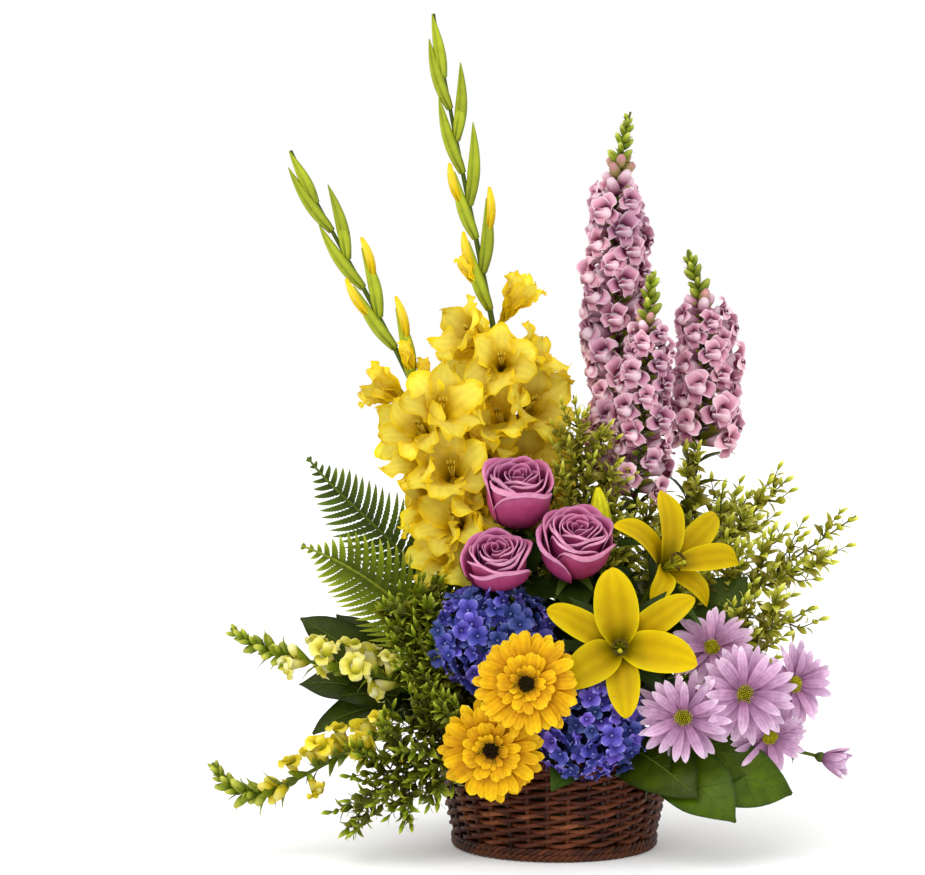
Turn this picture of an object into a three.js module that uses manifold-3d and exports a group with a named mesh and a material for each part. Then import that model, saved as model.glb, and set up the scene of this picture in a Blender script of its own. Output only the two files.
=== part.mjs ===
// Flower basket arrangement: a round wicker basket with a plastic liner and a block of wet floral foam,
// and the cut stems of flowers and greens that stand in the foam.
// Millimetres, +Z up. The origin is the middle of the basket's underside, +X is right and -Y is the front.
import * as THREE from "three";
import { mergeVertices } from "three/addons/utils/BufferGeometryUtils.js";
import Module from "manifold-3d";

const wasm = await Module();
wasm.setup();

// ---- Driving dimensions ----
const GAP = 0.4; // clearance between a piece and the one that it rests on
const SWELL = 0.7; // how far a neighbour's surface is pushed out before it is cut away

const BASKET = {
  footR: 92, // outer radius of the wall at the floor
  rimR: 105, // outer radius of the wall at its top
  wallTop: 81,
  wall: 5,
  belly: 1.5, // how far the wall swells out half way up
  baseThick: 6,
  footBand: 10, // height of the heavier band round the foot
  ropeR: 5.5, // radius of the plaited border
  segments: 32,
};
const LINER = { wall: 1.6, top: 79, slack: 3.2, footStep: 6, footHeight: 14 };
const FOAM = { length: 126, width: 110, corner: 44, top: 112, chamfer: 12 };

const HEART = new THREE.Vector3(0, 0, 30); // the point in the foam that every stem is pushed towards
const FOOT_REACH = 42; // how far from the heart a cut end stops
const FREE_REACH = 99; // how far from the heart every stem is out of the foam
const EXIT_LEVEL = 118; // the height at which a stem's way out of the foam is given, as [x, y]

const STEM_R = {
  gladiolus: 4.5,
  snapdragon: 3,
  rose: 3,
  lily: 3.5,
  gerbera: 3,
  hydrangea: 4,
  daisy: 2.2,
  fern: 1.6,
  salal: 1.8,
  myrtle: 1.5,
};

// Colour and roughness of each material.
const FINISHES = {
  wicker: [0x4a2618, 0.55],
  liner: [0x1f3a24, 0.4],
  foam: [0x2f5a34, 0.95],
  green_stem: [0x6f8f2e, 0.55],
  gladiolus_petal: [0xe8c714, 0.6],
  lavender_petal: [0xc79ac6, 0.65],
  cream_petal: [0xd9d255, 0.65],
  rose_petal: [0xb0629c, 0.6],
  lily_petal: [0xf0cf08, 0.45],
  gerbera_petal: [0xf6b90c, 0.6],
  hydrangea_petal: [0x4a46b8, 0.65],
  daisy_petal: [0xcfa6d6, 0.6],
  fern_leaf: [0x3f6124, 0.6],
  salal_leaf: [0x2f4d18, 0.35],
  myrtle_leaf: [0x7a8c34, 0.5],
};

// ---- Solids ----
const vec = (x, y, z) => new THREE.Vector3(x, y, z);
const UP = vec(0, 0, 1);
const FRONT = vec(0, -1, 0);
const TURN = Math.PI * 2;

function toSolid(geometry) {
  const bare = new THREE.BufferGeometry();
  bare.setAttribute("position", geometry.getAttribute("position"));
  if (geometry.index) bare.setIndex(geometry.index);
  const merged = mergeVertices(bare, 1e-3);
  const vertProperties = Float32Array.from(merged.attributes.position.array);
  const triVerts = Uint32Array.from(merged.index.array);
  const made = new wasm.Manifold(new wasm.Mesh({ numProp: 3, vertProperties, triVerts }));
  if (made.volume() > 0) return made;
  for (let i = 0; i < triVerts.length; i += 3) {
    [triVerts[i], triVerts[i + 1]] = [triVerts[i + 1], triVerts[i]];
  }
  return new wasm.Manifold(new wasm.Mesh({ numProp: 3, vertProperties, triVerts }));
}

function toGeometry(solid) {
  const mesh = solid.getMesh();
  const points = new Float32Array(mesh.numVert * 3);
  for (let i = 0; i < mesh.numVert; i++) {
    points.set(mesh.vertProperties.subarray(i * mesh.numProp, i * mesh.numProp + 3), i * 3);
  }
  const geometry = new THREE.BufferGeometry();
  geometry.setAttribute("position", new THREE.BufferAttribute(points, 3));
  geometry.setIndex(new THREE.BufferAttribute(mesh.triVerts, 1));
  geometry.computeVertexNormals();
  return geometry;
}

// The solid with its surface pushed out, to cut a clearance from a neighbour.
function swollen(solid) {
  const geometry = toGeometry(solid);
  const p = geometry.attributes.position;
  const n = geometry.attributes.normal;
  const point = vec(0, 0, 0);
  const normal = vec(0, 0, 0);
  for (let i = 0; i < p.count; i++) {
    point.fromBufferAttribute(p, i).addScaledVector(normal.fromBufferAttribute(n, i), SWELL);
    p.setXYZ(i, point.x, point.y, point.z);
  }
  return toSolid(geometry);
}

const boxesMeet = (a, b) => [0, 1, 2].every((i) => a.min[i] < b.max[i] && b.min[i] < a.max[i]);

function biggestBody(solid) {
  return solid.decompose().reduce((most, next) => (next.volume() > most.volume() ? next : most));
}

// ---- The group, and the pieces that are already in place ----
const arrangement = new THREE.Group();
const placed = [];

// Adds a piece as it is.
function put(name, solid, material) {
  placed.push(solid, swollen(solid));
  const [color, roughness] = FINISHES[material];
  const finish = new THREE.MeshStandardMaterial({ color, roughness, metalness: 0 });
  const mesh = new THREE.Mesh(toGeometry(solid), finish);
  mesh.name = name;
  arrangement.add(mesh);
}

// Adds a piece that gives way: what is already in place keeps its shape, and the piece is cut clear of it.
function place(name, solid, material) {
  let kept = solid;
  for (const taken of placed) {
    if (boxesMeet(kept.boundingBox(), taken.boundingBox())) kept = kept.subtract(taken);
  }
  put(name, biggestBody(kept), material);
}

// ---- Shapes ----
// A closed rod along a curve. reach(t, k, ring) is how far side k stands out at share t of the length.
// Sides 0 and half way round lie in the plane across `face`, so a flat reach makes a leaf that faces it.
// The first step covers the straight part of a cut stem, from its foot to where it is out of the foam.
function wand(curve, steps, sides, reach, face = UP) {
  const geometry = new THREE.CylinderGeometry(1, 1, 1, sides, steps);
  const p = geometry.attributes.position;
  const point = vec(0, 0, 0);
  const straight = curve.straight ?? 1 / steps;
  for (let i = 0; i < p.count; i++) {
    const ring = Math.round((p.getY(i) + 0.5) * steps);
    const rest = (1 - straight) / Math.max(1, steps - 1);
    const t = ring === 0 ? 0 : Math.min(1, straight + (ring - 1) * rest);
    const onSkin = Math.hypot(p.getX(i), p.getZ(i)) > 0.5;
    const k = (Math.round((Math.atan2(p.getX(i), p.getZ(i)) / TURN) * sides) + sides) % sides;
    const tangent = curve.getTangentAt(t);
    const across = vec(0, 0, 0).crossVectors(tangent, face).normalize();
    const out = vec(0, 0, 0).crossVectors(across, tangent);
    curve.getPointAt(t, point);
    if (onSkin) {
      const angle = (k / sides) * TURN;
      point.addScaledVector(across, reach(t, k, ring) * Math.cos(angle));
      point.addScaledVector(out, reach(t, k, ring) * Math.sin(angle));
    }
    p.setXYZ(i, point.x, point.y, point.z);
  }
  return toSolid(geometry);
}

// A round body turned from [radius, height] pairs, standing on `base` and pointing along `axis`.
// Its rim can wave `lobes` times round by a share `wave` of the radius.
function turned(profile, base, axis, segments, lobes = 0, wave = 0) {
  const points = profile.map(([r, h]) => new THREE.Vector2(r, h));
  const geometry = new THREE.LatheGeometry(points, segments);
  const p = geometry.attributes.position;
  for (let i = 0; lobes && i < p.count; i++) {
    const grow = 1 + wave * Math.cos(lobes * Math.atan2(p.getX(i), p.getZ(i)));
    p.setXYZ(i, p.getX(i) * grow, p.getY(i), p.getZ(i) * grow);
  }
  geometry.applyQuaternion(new THREE.Quaternion().setFromUnitVectors(vec(0, 1, 0), axis));
  geometry.translate(base.x, base.y, base.z);
  return toSolid(geometry);
}

const joined = (solids) => solids.reduce((all, next) => all.add(next));

const rod = (curve, radius, steps = 8) => wand(curve, steps, 5, () => radius);

// The curve of a cut stem. In the foam it is straight, on the line from the heart through the spot `exit`
// on the exit level. After that it goes through the points. Its hole is noted for the foam.
const holes = [];
function route(exit, radius, ...points) {
  const way = vec(exit[0], exit[1], EXIT_LEVEL).sub(HEART).normalize();
  const on = (reach) => HEART.clone().addScaledVector(way, reach);
  holes.push(rod(new THREE.LineCurve3(on(FOOT_REACH - GAP), on(FREE_REACH)), radius + 2 * GAP, 1));
  const straight = [on(FOOT_REACH), on((FOOT_REACH + FREE_REACH) / 2), on(FREE_REACH), on(FREE_REACH + 4)];
  const curve = new THREE.CatmullRomCurve3([...straight, ...points], false, "centripetal");
  curve.straight = (FREE_REACH - FOOT_REACH) / curve.getLength();
  return curve;
}

// ---- Basket, liner and foam ----
const wallRadius = (z) => BASKET.footR + ((BASKET.rimR - BASKET.footR) / BASKET.wallTop) * z;

function makeBasket() {
  const { footR, rimR, wallTop, wall, belly, baseThick, footBand, ropeR, segments } = BASKET;
  const floor = vec(0, 0, 0);
  const base = [
    [0, 0],
    [footR - 2, 0],
    [footR + 1, 3],
    [footR + 1, footBand - 2],
    [footR - 1, footBand],
    [footR - 7, footBand],
    [footR - 7, baseThick],
    [0, baseThick],
  ];
  put("basket_base", turned(base, floor, UP, segments), "wicker");
  const low = footBand + GAP;
  const middle = wallTop / 2;
  const side = [
    [wallRadius(low) - wall, low],
    [wallRadius(low), low],
    [wallRadius(middle) + belly, middle],
    [wallRadius(wallTop), wallTop],
    [wallRadius(wallTop) - wall, wallTop],
    [wallRadius(middle) + belly - wall, middle],
    [wallRadius(low) - wall, low],
  ];
  put("basket_wall", turned(side, floor, UP, segments), "wicker");
  const rope = new THREE.TorusGeometry(rimR - wall / 2, ropeR, 8, segments);
  rope.translate(0, 0, wallTop + GAP + ropeR);
  put("basket_border", toSolid(rope), "wicker");
}

function makeLiner() {
  const { wall, top, slack, footStep, footHeight } = LINER;
  const radius = (z) => wallRadius(z) - BASKET.wall - slack;
  const low = BASKET.baseThick + GAP;
  const footRadius = radius(low) - footStep;
  const bowl = [
    [0, low],
    [footRadius, low],
    [radius(footHeight), footHeight],
    [radius(top), top],
    [radius(top) - wall, top],
    [radius(footHeight) - wall, footHeight + wall],
    [footRadius - wall, low + wall],
    [0, low + wall],
  ];
  put("plastic_liner", turned(bowl, vec(0, 0, 0), UP, BASKET.segments), "liner");
}

function makeFoam() {
  const { length, width, corner, top, chamfer } = FOAM;
  const x = length / 2 - chamfer;
  const y = width / 2 - chamfer;
  const r = corner - chamfer;
  const outline = new THREE.Shape();
  outline.absarc(x - r, y - r, r, 0, TURN / 4);
  outline.absarc(-x + r, y - r, r, TURN / 4, TURN / 2);
  outline.absarc(-x + r, -y + r, r, TURN / 2, TURN * 0.75);
  outline.absarc(x - r, -y + r, r, TURN * 0.75, TURN);
  const low = BASKET.baseThick + GAP + LINER.wall + GAP;
  const bevel = { bevelThickness: chamfer, bevelSize: chamfer, bevelSegments: 1, curveSegments: 4 };
  const block = new THREE.ExtrudeGeometry(outline, { depth: top - low - 2 * chamfer, ...bevel });
  block.translate(0, 0, low + chamfer);
  put("floral_foam", holes.reduce((left, hole) => left.subtract(hole), toSolid(block)), "foam");
}

// ---- Gladioli: a stem with buds in two ranks above, and open florets in the same two ranks below ----
const GLADIOLI = [
  {
    name: "gladiolus_left",
    exit: [-34, 19],
    path: [vec(-84, 10, 311), vec(-128, 16, 412), vec(-186, 28, 529), vec(-236, 36, 619)],
    florets: { from: 0.64, to: 0.32, count: 7 },
    buds: { from: 0.7, count: 8 },
  },
  {
    name: "gladiolus_centre",
    exit: [-10, 26],
    path: [vec(-30, 42, 330), vec(-54, 44, 456), vec(-75, 42, 570), vec(-109, 38, 745)],
    florets: { from: 0.64, to: 0.3, count: 8 },
    buds: { from: 0.7, count: 8 },
  },
];
const FLORET = { length: 48, mouth: 33, lobes: 6, bud: 44 };

// The way a floret or bud leans: out to its rank's side, towards the front and up along the stem.
function lean(curve, t, rank, outward, forward, along) {
  const tangent = curve.getTangentAt(t);
  const side = vec(0, 0, 0).crossVectors(FRONT, tangent).multiplyScalar(-rank).normalize();
  return side
    .multiplyScalar(outward)
    .addScaledVector(FRONT, forward)
    .addScaledVector(tangent, along)
    .normalize();
}

function gladiolusFloret(curve, t, rank, size) {
  const axis = lean(curve, t, rank, 0.8, 0.7, 0.45);
  const { length, mouth, lobes } = FLORET;
  const profile = [
    [0, 0],
    [8 * size, length * 0.4 * size],
    [mouth * size, length * size],
    [0, length * 0.62 * size],
  ];
  return turned(profile, curve.getPointAt(t), axis, lobes * 2, lobes, 0.1);
}

function gladiolusBud(curve, t, rank, away) {
  const start = curve.getPointAt(t);
  const way = lean(curve, t, rank, away, away * 0.4, 1);
  const end = start.clone().addScaledVector(way, FLORET.bud * (1.15 - 0.5 * t));
  const swell = (s) => 5.4 * Math.sin(Math.PI * (0.14 + 0.84 * s)) + 0.4;
  return wand(new THREE.LineCurve3(start, end), 2, 4, swell, FRONT);
}

function makeGladiolus({ name, exit, path, florets, buds }) {
  const curve = route(exit, STEM_R.gladiolus, ...path);
  const spike = [wand(curve, 9, 5, (t) => STEM_R.gladiolus * (1 - 0.5 * t * t))];
  for (let i = 0; i <= buds.count; i++) {
    const t = buds.from + (i / buds.count) * (0.97 - buds.from);
    spike.push(gladiolusBud(curve, t, i % 2 ? 1 : -1, i === buds.count ? 0 : 0.22));
  }
  place(`${name}_stem`, joined(spike), "green_stem");

  const collar = [];
  for (let i = 0; i <= 4; i++) {
    collar.push(curve.getPointAt(florets.to - 0.02 + (i / 4) * (florets.from - florets.to + 0.03)));
  }
  const parts = [rod(new THREE.CatmullRomCurve3(collar), STEM_R.gladiolus + 3.4, 4)];
  for (let i = 0; i < florets.count; i++) {
    const share = i / (florets.count - 1);
    const t = florets.from + share * (florets.to - florets.from);
    parts.push(gladiolusFloret(curve, t, i % 2 ? 1 : -1, 0.55 + 0.45 * Math.min(1, share * 2.5)));
  }
  return () => place(`${name}_florets`, joined(parts), "gladiolus_petal");
}

// ---- Snapdragons: a spike of close-set florets round a stem with a tip of green buds ----
const SNAPDRAGONS = [
  {
    name: "snapdragon_tall",
    exit: [16, 24],
    path: [vec(60, 27, 329), vec(56, 32, 492), vec(66, 35, 665)],
    florets: { from: 0.42, to: 0.92, low: 31, high: 16 },
    petal: "lavender_petal",
  },
  {
    name: "snapdragon_middle",
    exit: [33, 6],
    path: [vec(76, -8, 330), vec(79, -10, 411), vec(87, -10, 519)],
    florets: { from: 0.54, to: 0.9, low: 29, high: 14 },
    petal: "lavender_petal",
  },
  {
    name: "snapdragon_right",
    exit: [42, 28],
    path: [vec(131, 34, 340), vec(139, 38, 447), vec(124, 38, 538)],
    florets: { from: 0.58, to: 0.91, low: 32, high: 18 },
    petal: "lavender_petal",
  },
  {
    name: "yellow_snapdragon_upper",
    exit: [-76, -8],
    path: [vec(-150, -30, 156), vec(-229, -32, 170), vec(-293, -30, 198)],
    florets: { from: 0.45, to: 0.8, low: 22, high: 10 },
    petal: "cream_petal",
  },
  {
    name: "yellow_snapdragon_lower",
    exit: [-76, -48],
    path: [vec(-139, -58, 114), vec(-200, -68, 86), vec(-262, -70, 56), vec(-306, -70, 81)],
    florets: { from: 0.42, to: 0.74, low: 22, high: 9 },
    petal: "cream_petal",
  },
];

function makeSnapdragon({ name, exit, path, florets, petal }) {
  const curve = route(exit, STEM_R.snapdragon, ...path);
  const { from, to, low, high } = florets;
  const stem = (t, k, ring) => {
    const buds = t > to && t < 1 ? 4.5 * ((k + ring) % 2) : 0;
    return STEM_R.snapdragon * (1 - 0.5 * t) + buds;
  };
  place(`${name}_stem`, wand(curve, 18, 4, stem), "green_stem");
  const line = [0, 1, 2, 3, 4].map((i) => curve.getPointAt(from + (i / 4) * (to - from)));
  const reach = (s, k, ring) => {
    const end = s === 0 || s === 1 ? 0.5 : 1;
    return (low + (high - low) * s) * end * (1 - 0.22 * ((k + ring) % 2));
  };
  return () => place(`${name}_florets`, wand(new THREE.CatmullRomCurve3(line), 10, 8, reach), petal);
}

// ---- Flowers with one head: the stem ends behind the head and points the way that it faces ----
// `neck` is the length of the stem's last stretch, and `behind` is how far it ends from the head's middle.
function headStem({ name, exit, middle, facing }, neck, behind, radius) {
  const face = facing.clone().normalize();
  const end = middle.clone().addScaledVector(face, -behind);
  const bend = end.clone().addScaledVector(face, -neck);
  place(`${name}_stem`, rod(route(exit, radius, bend, end), radius), "green_stem");
  return { base: end.clone().addScaledVector(face, GAP), face };
}

const head = (name, width, exit, middle, facing) => ({ name, width, exit, middle, facing });
const ROSES = [
  head("rose_top", 66, [-15, 2], vec(-35, -45, 322), vec(0.05, -0.57, 0.82)),
  head("rose_right", 70, [0, -16], vec(14, -72, 277), vec(0.1, -0.74, 0.66)),
  head("rose_left", 62, [-31, -6], vec(-52, -78, 265), vec(-0.08, -0.66, 0.75)),
];

function makeRose(rose) {
  const r = rose.width / 2;
  const { base, face } = headStem(rose, 40, r * 0.85, STEM_R.rose);
  const profile = [
    [0, 0],
    [r * 0.5, r * 0.25],
    [r * 0.86, r * 0.8],
    [r, r * 1.4],
    [r * 0.35, r * 1.72],
    [0, r * 1.72],
  ];
  return () => place(`${rose.name}_bloom`, turned(profile, base, face, 12), "rose_petal");
}

const GERBERAS = [
  head("gerbera_upper", 92, [-14, -40], vec(-28, -146, 164), vec(-0.06, -0.98, 0.16)),
  head("gerbera_lower", 92, [-38, -54], vec(-58, -128, 105), vec(-0.12, -0.98, -0.06)),
];

function makeGerbera(gerbera) {
  const r = gerbera.width / 2;
  const { base, face } = headStem(gerbera, 22, 14, STEM_R.gerbera);
  const profile = [
    [0, 0],
    [12, 6],
    [r, 14],
    [r, 16.5],
    [12, 13],
    [0, 14],
  ];
  const disc = turned(profile, base, face, 20, 10, 0.05);
  return () => place(`${gerbera.name}_bloom`, disc, "gerbera_petal");
}

const HYDRANGEAS = [
  head("hydrangea_left", 104, [-47, -26], vec(-54, -62, 192), vec(-0.3, -0.72, 0.62)),
  head("hydrangea_right", 96, [10, -58], vec(26, -90, 121), vec(0.15, -0.9, 0.4)),
];

function makeHydrangea(hydrangea) {
  const r = hydrangea.width / 2;
  const { base, face } = headStem(hydrangea, 4, r * 0.5, STEM_R.hydrangea);
  const profile = [
    [0, 0],
    [r * 0.8, r * 0.1],
    [r, r * 0.5],
    [r * 0.9, r],
    [r * 0.55, r * 1.36],
    [0, r * 1.5],
  ];
  const ball = turned(profile, base, face, 16, 8, 0.05);
  return () => place(`${hydrangea.name}_bloom`, ball, "hydrangea_petal");
}

const LILIES = [
  { ...head("lily_front", 135, [27, -36], vec(54, -122, 196), vec(0.02, -0.96, 0.26)), roll: 8 },
  { ...head("lily_back", 135, [46, -14], vec(101, -52, 258), vec(0.5, -0.48, 0.72)), roll: 20 },
];
const LILY = { petal: 34, throat: 22, thick: 1.3 };

// One petal of a flower of the given width: a flat leaf that starts along the axis, at `outer` from it,
// and bends away.
function lilyPetal(base, face, angle, outer, width) {
  const aside = new THREE.Quaternion().setFromUnitVectors(UP, face);
  const out = vec(Math.cos(angle), Math.sin(angle), 0).applyQuaternion(aside);
  const at = (along, away) => base.clone().addScaledVector(face, along).addScaledVector(out, outer + away);
  const line = [[0.02, 0], [0.2, 0.08], [0.33, 0.27], [0.34, 0.52]].map(([a, b]) => at(a * width, b * width));
  const half = (t) => (LILY.petal / 2) * Math.sin(Math.PI * (0.04 + 0.93 * t)) + 0.5;
  return wand(new THREE.CatmullRomCurve3(line), 5, 4, (t, k) => (k % 2 ? LILY.thick : half(t)), face);
}

function makeLily(lily) {
  const { base, face } = headStem(lily, 24, LILY.throat, STEM_R.lily);
  const parts = [turned([[0, 0], [4.5, 1], [6, 12], [0, 16]], base, face, 6)];
  for (let i = 0; i < 6; i++) {
    const angle = ((i + lily.roll / 60) / 6) * TURN;
    parts.push(lilyPetal(base, face, angle, 3 + 3 * (i % 2), lily.width));
  }
  return () => place(`${lily.name}_bloom`, joined(parts), "lily_petal");
}

function makeLilyBud() {
  const top = vec(31, -40, 332);
  const low = vec(41, -38, 284);
  const stem = rod(route([22, -10], STEM_R.lily * 0.7, low), STEM_R.lily * 0.7);
  const swell = (t) => 8.5 * Math.sin(Math.PI * (0.14 + 0.82 * t));
  place("lily_bud", stem.add(wand(new THREE.LineCurve3(low, top), 5, 6, swell)), "lily_petal");
}

// ---- Daisy spray: one branching stem, with each head on a branch of its own ----
const DAISY_FORK = vec(92, -54, 130);
const DAISIES = [
  head("daisy_back", 78, null, vec(137, -66, 184), vec(-0.15, -0.78, 0.58)),
  head("daisy_front", 84, null, vec(159, -112, 151), vec(0.05, -0.99, 0.06)),
  head("daisy_left", 82, null, vec(108, -116, 132), vec(-0.1, -0.98, -0.08)),
  head("daisy_right", 76, null, vec(206, -72, 155), vec(0.5, -0.85, 0.02)),
  head("daisy_low", 70, null, vec(184, -84, 112), vec(0.25, -0.9, -0.3)),
];
const DAISY_BUD = { base: vec(229, -62, 100), tip: vec(250, -68, 84) };
const DAISY_CUP = [[0, 0], [8, 4], [11, 12], [12, 26], [0, 24]];

function makeDaisies() {
  const branches = [rod(route([54, -40], STEM_R.daisy, DAISY_FORK), STEM_R.daisy, 3)];
  const branch = (end, ...bends) => {
    const line = new THREE.CatmullRomCurve3([DAISY_FORK, ...bends, end], false, "centripetal");
    branches.push(rod(line, STEM_R.daisy * 0.7, 4));
  };
  const heads = [];
  for (const { name, width, middle, facing } of DAISIES) {
    const face = facing.clone().normalize();
    const end = middle.clone().addScaledVector(face, -9);
    branch(end, end.clone().addScaledVector(face, -20));
    const r = width / 2;
    const profile = [[0, 0], [8, 4], [r, 11], [r, 13], [0, 11]];
    const base = end.clone().addScaledVector(face, GAP);
    heads.push(() => place(name, turned(profile, base, face, 16, 8, 0.06), "daisy_petal"));
  }
  const { base, tip } = DAISY_BUD;
  const axis = tip.clone().sub(base).normalize();
  branch(base, vec(170, -52, 112));
  place("daisy_stem", joined(branches), "green_stem");
  const budBase = base.clone().addScaledVector(axis, GAP);
  heads.push(() => place("daisy_bud", turned(DAISY_CUP, budBase, axis, 10), "daisy_petal"));
  return heads;
}

// ---- Greens ----
// A fern frond is one flat comb: its width swings between the tips of its leaflets and its rib.
const sprig = (name, exit, ...path) => ({ name, exit, path });
const FERNS = [
  sprig("fern_upper", [-54, 32], vec(-112, 36, 232), vec(-167, 38, 288), vec(-227, 40, 349)),
  sprig("fern_lower", [-58, 10], vec(-118, 8, 196), vec(-166, 4, 240), vec(-230, 0, 271)),
  sprig("fern_back_left", [-42, 50], vec(-80, 88, 230), vec(-104, 100, 312)),
  sprig("fern_back_right", [46, 52], vec(84, 90, 230), vec(104, 100, 300)),
];
const FERN = { wide: 35, leaflets: 15 };

function makeFern({ name, exit, path }) {
  const curve = route(exit, STEM_R.fern, ...path);
  const { wide, leaflets } = FERN;
  const outline = (s) => wide * Math.pow(Math.sin(Math.PI * (0.3 + 0.7 * s)), 0.8);
  const reach = (t, k, ring) => {
    if (k % 2) return STEM_R.fern * 0.8;
    const s = (t - curve.straight) / (1 - curve.straight);
    return STEM_R.fern + (ring > 2 && ring % 2 ? outline(Math.min(1, s)) : 0);
  };
  place(name, wand(curve, leaflets * 2, 4, reach, vec(-0.2, -0.9, 0.4)), "fern_leaf");
}

// A salal spray is a stem with broad leaves. A leaf is given by its start on the stem, its tip and its width.
const SALALS = [
  {
    name: "salal_right",
    exit: [60, -62],
    path: [vec(92, -92, 112), vec(124, -106, 92)],
    leaves: [
      { at: 0.7, tip: vec(110, -150, 58), width: 52 },
      { at: 0.85, tip: vec(148, -138, 44), width: 50 },
      { at: 1, tip: vec(203, -100, 60), width: 48 },
    ],
  },
  {
    name: "salal_left",
    exit: [-80, 20],
    path: [vec(-120, 26, 140), vec(-160, 22, 158)],
    leaves: [
      { at: 0.6, tip: vec(-219, 8, 112), width: 44 },
      { at: 0.8, tip: vec(-232, 22, 140), width: 46 },
      { at: 1, tip: vec(-231, 16, 202), width: 46 },
    ],
  },
  {
    name: "salal_centre",
    exit: [58, 8],
    path: [vec(116, 2, 190), vec(140, -8, 214)],
    leaves: [
      { at: 0.7, tip: vec(158, -28, 168), width: 46 },
      { at: 1, tip: vec(178, -26, 234), width: 44 },
    ],
  },
  {
    name: "salal_back_left",
    exit: [-22, 62],
    path: [vec(-44, 92, 150), vec(-64, 108, 178)],
    leaves: [
      { at: 0.62, tip: vec(-18, 148, 104), width: 54 },
      { at: 0.68, tip: vec(-112, 116, 96), width: 52 },
      { at: 0.78, tip: vec(-74, 146, 112), width: 54 },
      { at: 0.88, tip: vec(-8, 132, 186), width: 50 },
      { at: 1, tip: vec(-86, 112, 252), width: 50 },
    ],
  },
  {
    name: "salal_back_right",
    exit: [20, 64],
    path: [vec(44, 92, 152), vec(66, 106, 184)],
    leaves: [
      { at: 0.6, tip: vec(34, 150, 96), width: 54 },
      { at: 0.7, tip: vec(122, 112, 108), width: 52 },
      { at: 0.82, tip: vec(86, 142, 128), width: 52 },
      { at: 0.9, tip: vec(36, 130, 224), width: 50 },
      { at: 1, tip: vec(116, 104, 242), width: 48 },
    ],
  },
];

function makeSalal({ name, exit, path, leaves }) {
  const curve = route(exit, STEM_R.salal, ...path);
  const parts = [rod(curve, STEM_R.salal, 5)];
  for (const { at, tip, width } of leaves) {
    const start = curve.getPointAt(at);
    const arch = start.clone().lerp(tip, 0.5).add(vec(0, 0, 10));
    const rib = new THREE.QuadraticBezierCurve3(start, arch, tip);
    const half = (t) => (width / 2) * Math.pow(Math.sin(Math.PI * (0.04 + 0.94 * t)), 0.75) + 0.4;
    parts.push(wand(rib, 6, 4, (t, k) => (k % 2 ? 1 : half(t)), vec(0.1, -0.8, 0.6)));
  }
  place(name, joined(parts), "salal_leaf");
}

// A myrtle sprig is a stem with small leaves in pairs, each pair across the one below it.
const SPRIGS = [
  sprig("myrtle_right_long", [76, -2], vec(160, 10, 214), vec(224, 8, 262), vec(273, 0, 299)),
  sprig("myrtle_right_low", [78, -22], vec(164, -22, 176), vec(232, -30, 220)),
  sprig("myrtle_right_high", [66, 28], vec(136, 62, 236), vec(184, 56, 318)),
  sprig("myrtle_top", [10, 4], vec(26, -22, 300), vec(17, -14, 408)),
  sprig("myrtle_left_low", [-54, -70], vec(-120, -96, 98), vec(-164, -98, 52), vec(-186, -96, 30)),
  sprig("myrtle_left_high", [-70, -29], vec(-110, -52, 190), vec(-140, -54, 226)),
];
const MYRTLE = { leaf: 12, rings: 26 };

function makeSprig({ name, exit, path }) {
  const curve = route(exit, STEM_R.myrtle, ...path);
  const { leaf, rings } = MYRTLE;
  const reach = (t, k, ring) => {
    const leafy = ring > 1 && ring < rings && ring % 2 && k % 2 === ((ring - 1) / 2) % 2;
    return leafy ? leaf * (1.1 - 0.5 * t) : STEM_R.myrtle;
  };
  place(name, wand(curve, rings, 4, reach), "myrtle_leaf");
}

// ---- Assembly: what keeps its shape goes first, and what gives way goes later ----
makeBasket();
makeLiner();
const blooms = [
  ...GLADIOLI.map(makeGladiolus),
  ...SNAPDRAGONS.map(makeSnapdragon),
  ...ROSES.map(makeRose),
  ...LILIES.map(makeLily),
  ...GERBERAS.map(makeGerbera),
  ...HYDRANGEAS.map(makeHydrangea),
  ...makeDaisies(),
];
makeLilyBud();
blooms.reverse().forEach((placeBloom) => placeBloom());
SPRIGS.forEach(makeSprig);
FERNS.forEach(makeFern);
SALALS.forEach(makeSalal);
makeFoam();

export default arrangement;
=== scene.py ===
"""A basket of cut flowers: gladioli, snapdragons, roses, lilies, gerberas, hydrangeas, daisies and greens.

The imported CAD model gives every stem's line and every head's place, size and facing. The script reads
them from its meshes and grows the real petals, leaves and woven rods there. It works in millimetres,
and a piece turns to metres when its mesh is built.
"""

import math

import bmesh
import bpy
import numpy as np
from mathutils import Matrix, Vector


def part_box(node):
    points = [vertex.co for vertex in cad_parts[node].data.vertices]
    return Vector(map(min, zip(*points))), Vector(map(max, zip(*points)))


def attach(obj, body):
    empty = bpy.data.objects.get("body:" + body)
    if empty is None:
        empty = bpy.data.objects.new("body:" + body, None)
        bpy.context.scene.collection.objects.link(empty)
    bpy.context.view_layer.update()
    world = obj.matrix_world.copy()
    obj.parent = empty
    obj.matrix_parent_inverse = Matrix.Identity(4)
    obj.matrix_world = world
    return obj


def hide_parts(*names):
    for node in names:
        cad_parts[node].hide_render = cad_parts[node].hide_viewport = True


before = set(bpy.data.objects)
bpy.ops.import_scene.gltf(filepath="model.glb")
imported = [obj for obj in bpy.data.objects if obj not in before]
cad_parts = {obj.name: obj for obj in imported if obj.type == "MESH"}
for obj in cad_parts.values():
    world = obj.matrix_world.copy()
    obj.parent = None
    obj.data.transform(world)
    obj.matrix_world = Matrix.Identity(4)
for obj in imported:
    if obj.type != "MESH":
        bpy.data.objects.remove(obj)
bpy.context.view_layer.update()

MM = 0.001
HEART = np.array([0.0, 0.0, 30.0])  # the point inside the foam that every stem's line starts from
FOOT_REACH = 42.0  # from the heart to a stem's cut end
STEM_ONLY = 60.0  # so near the heart, a spray's mesh is nothing but its stem
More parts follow.
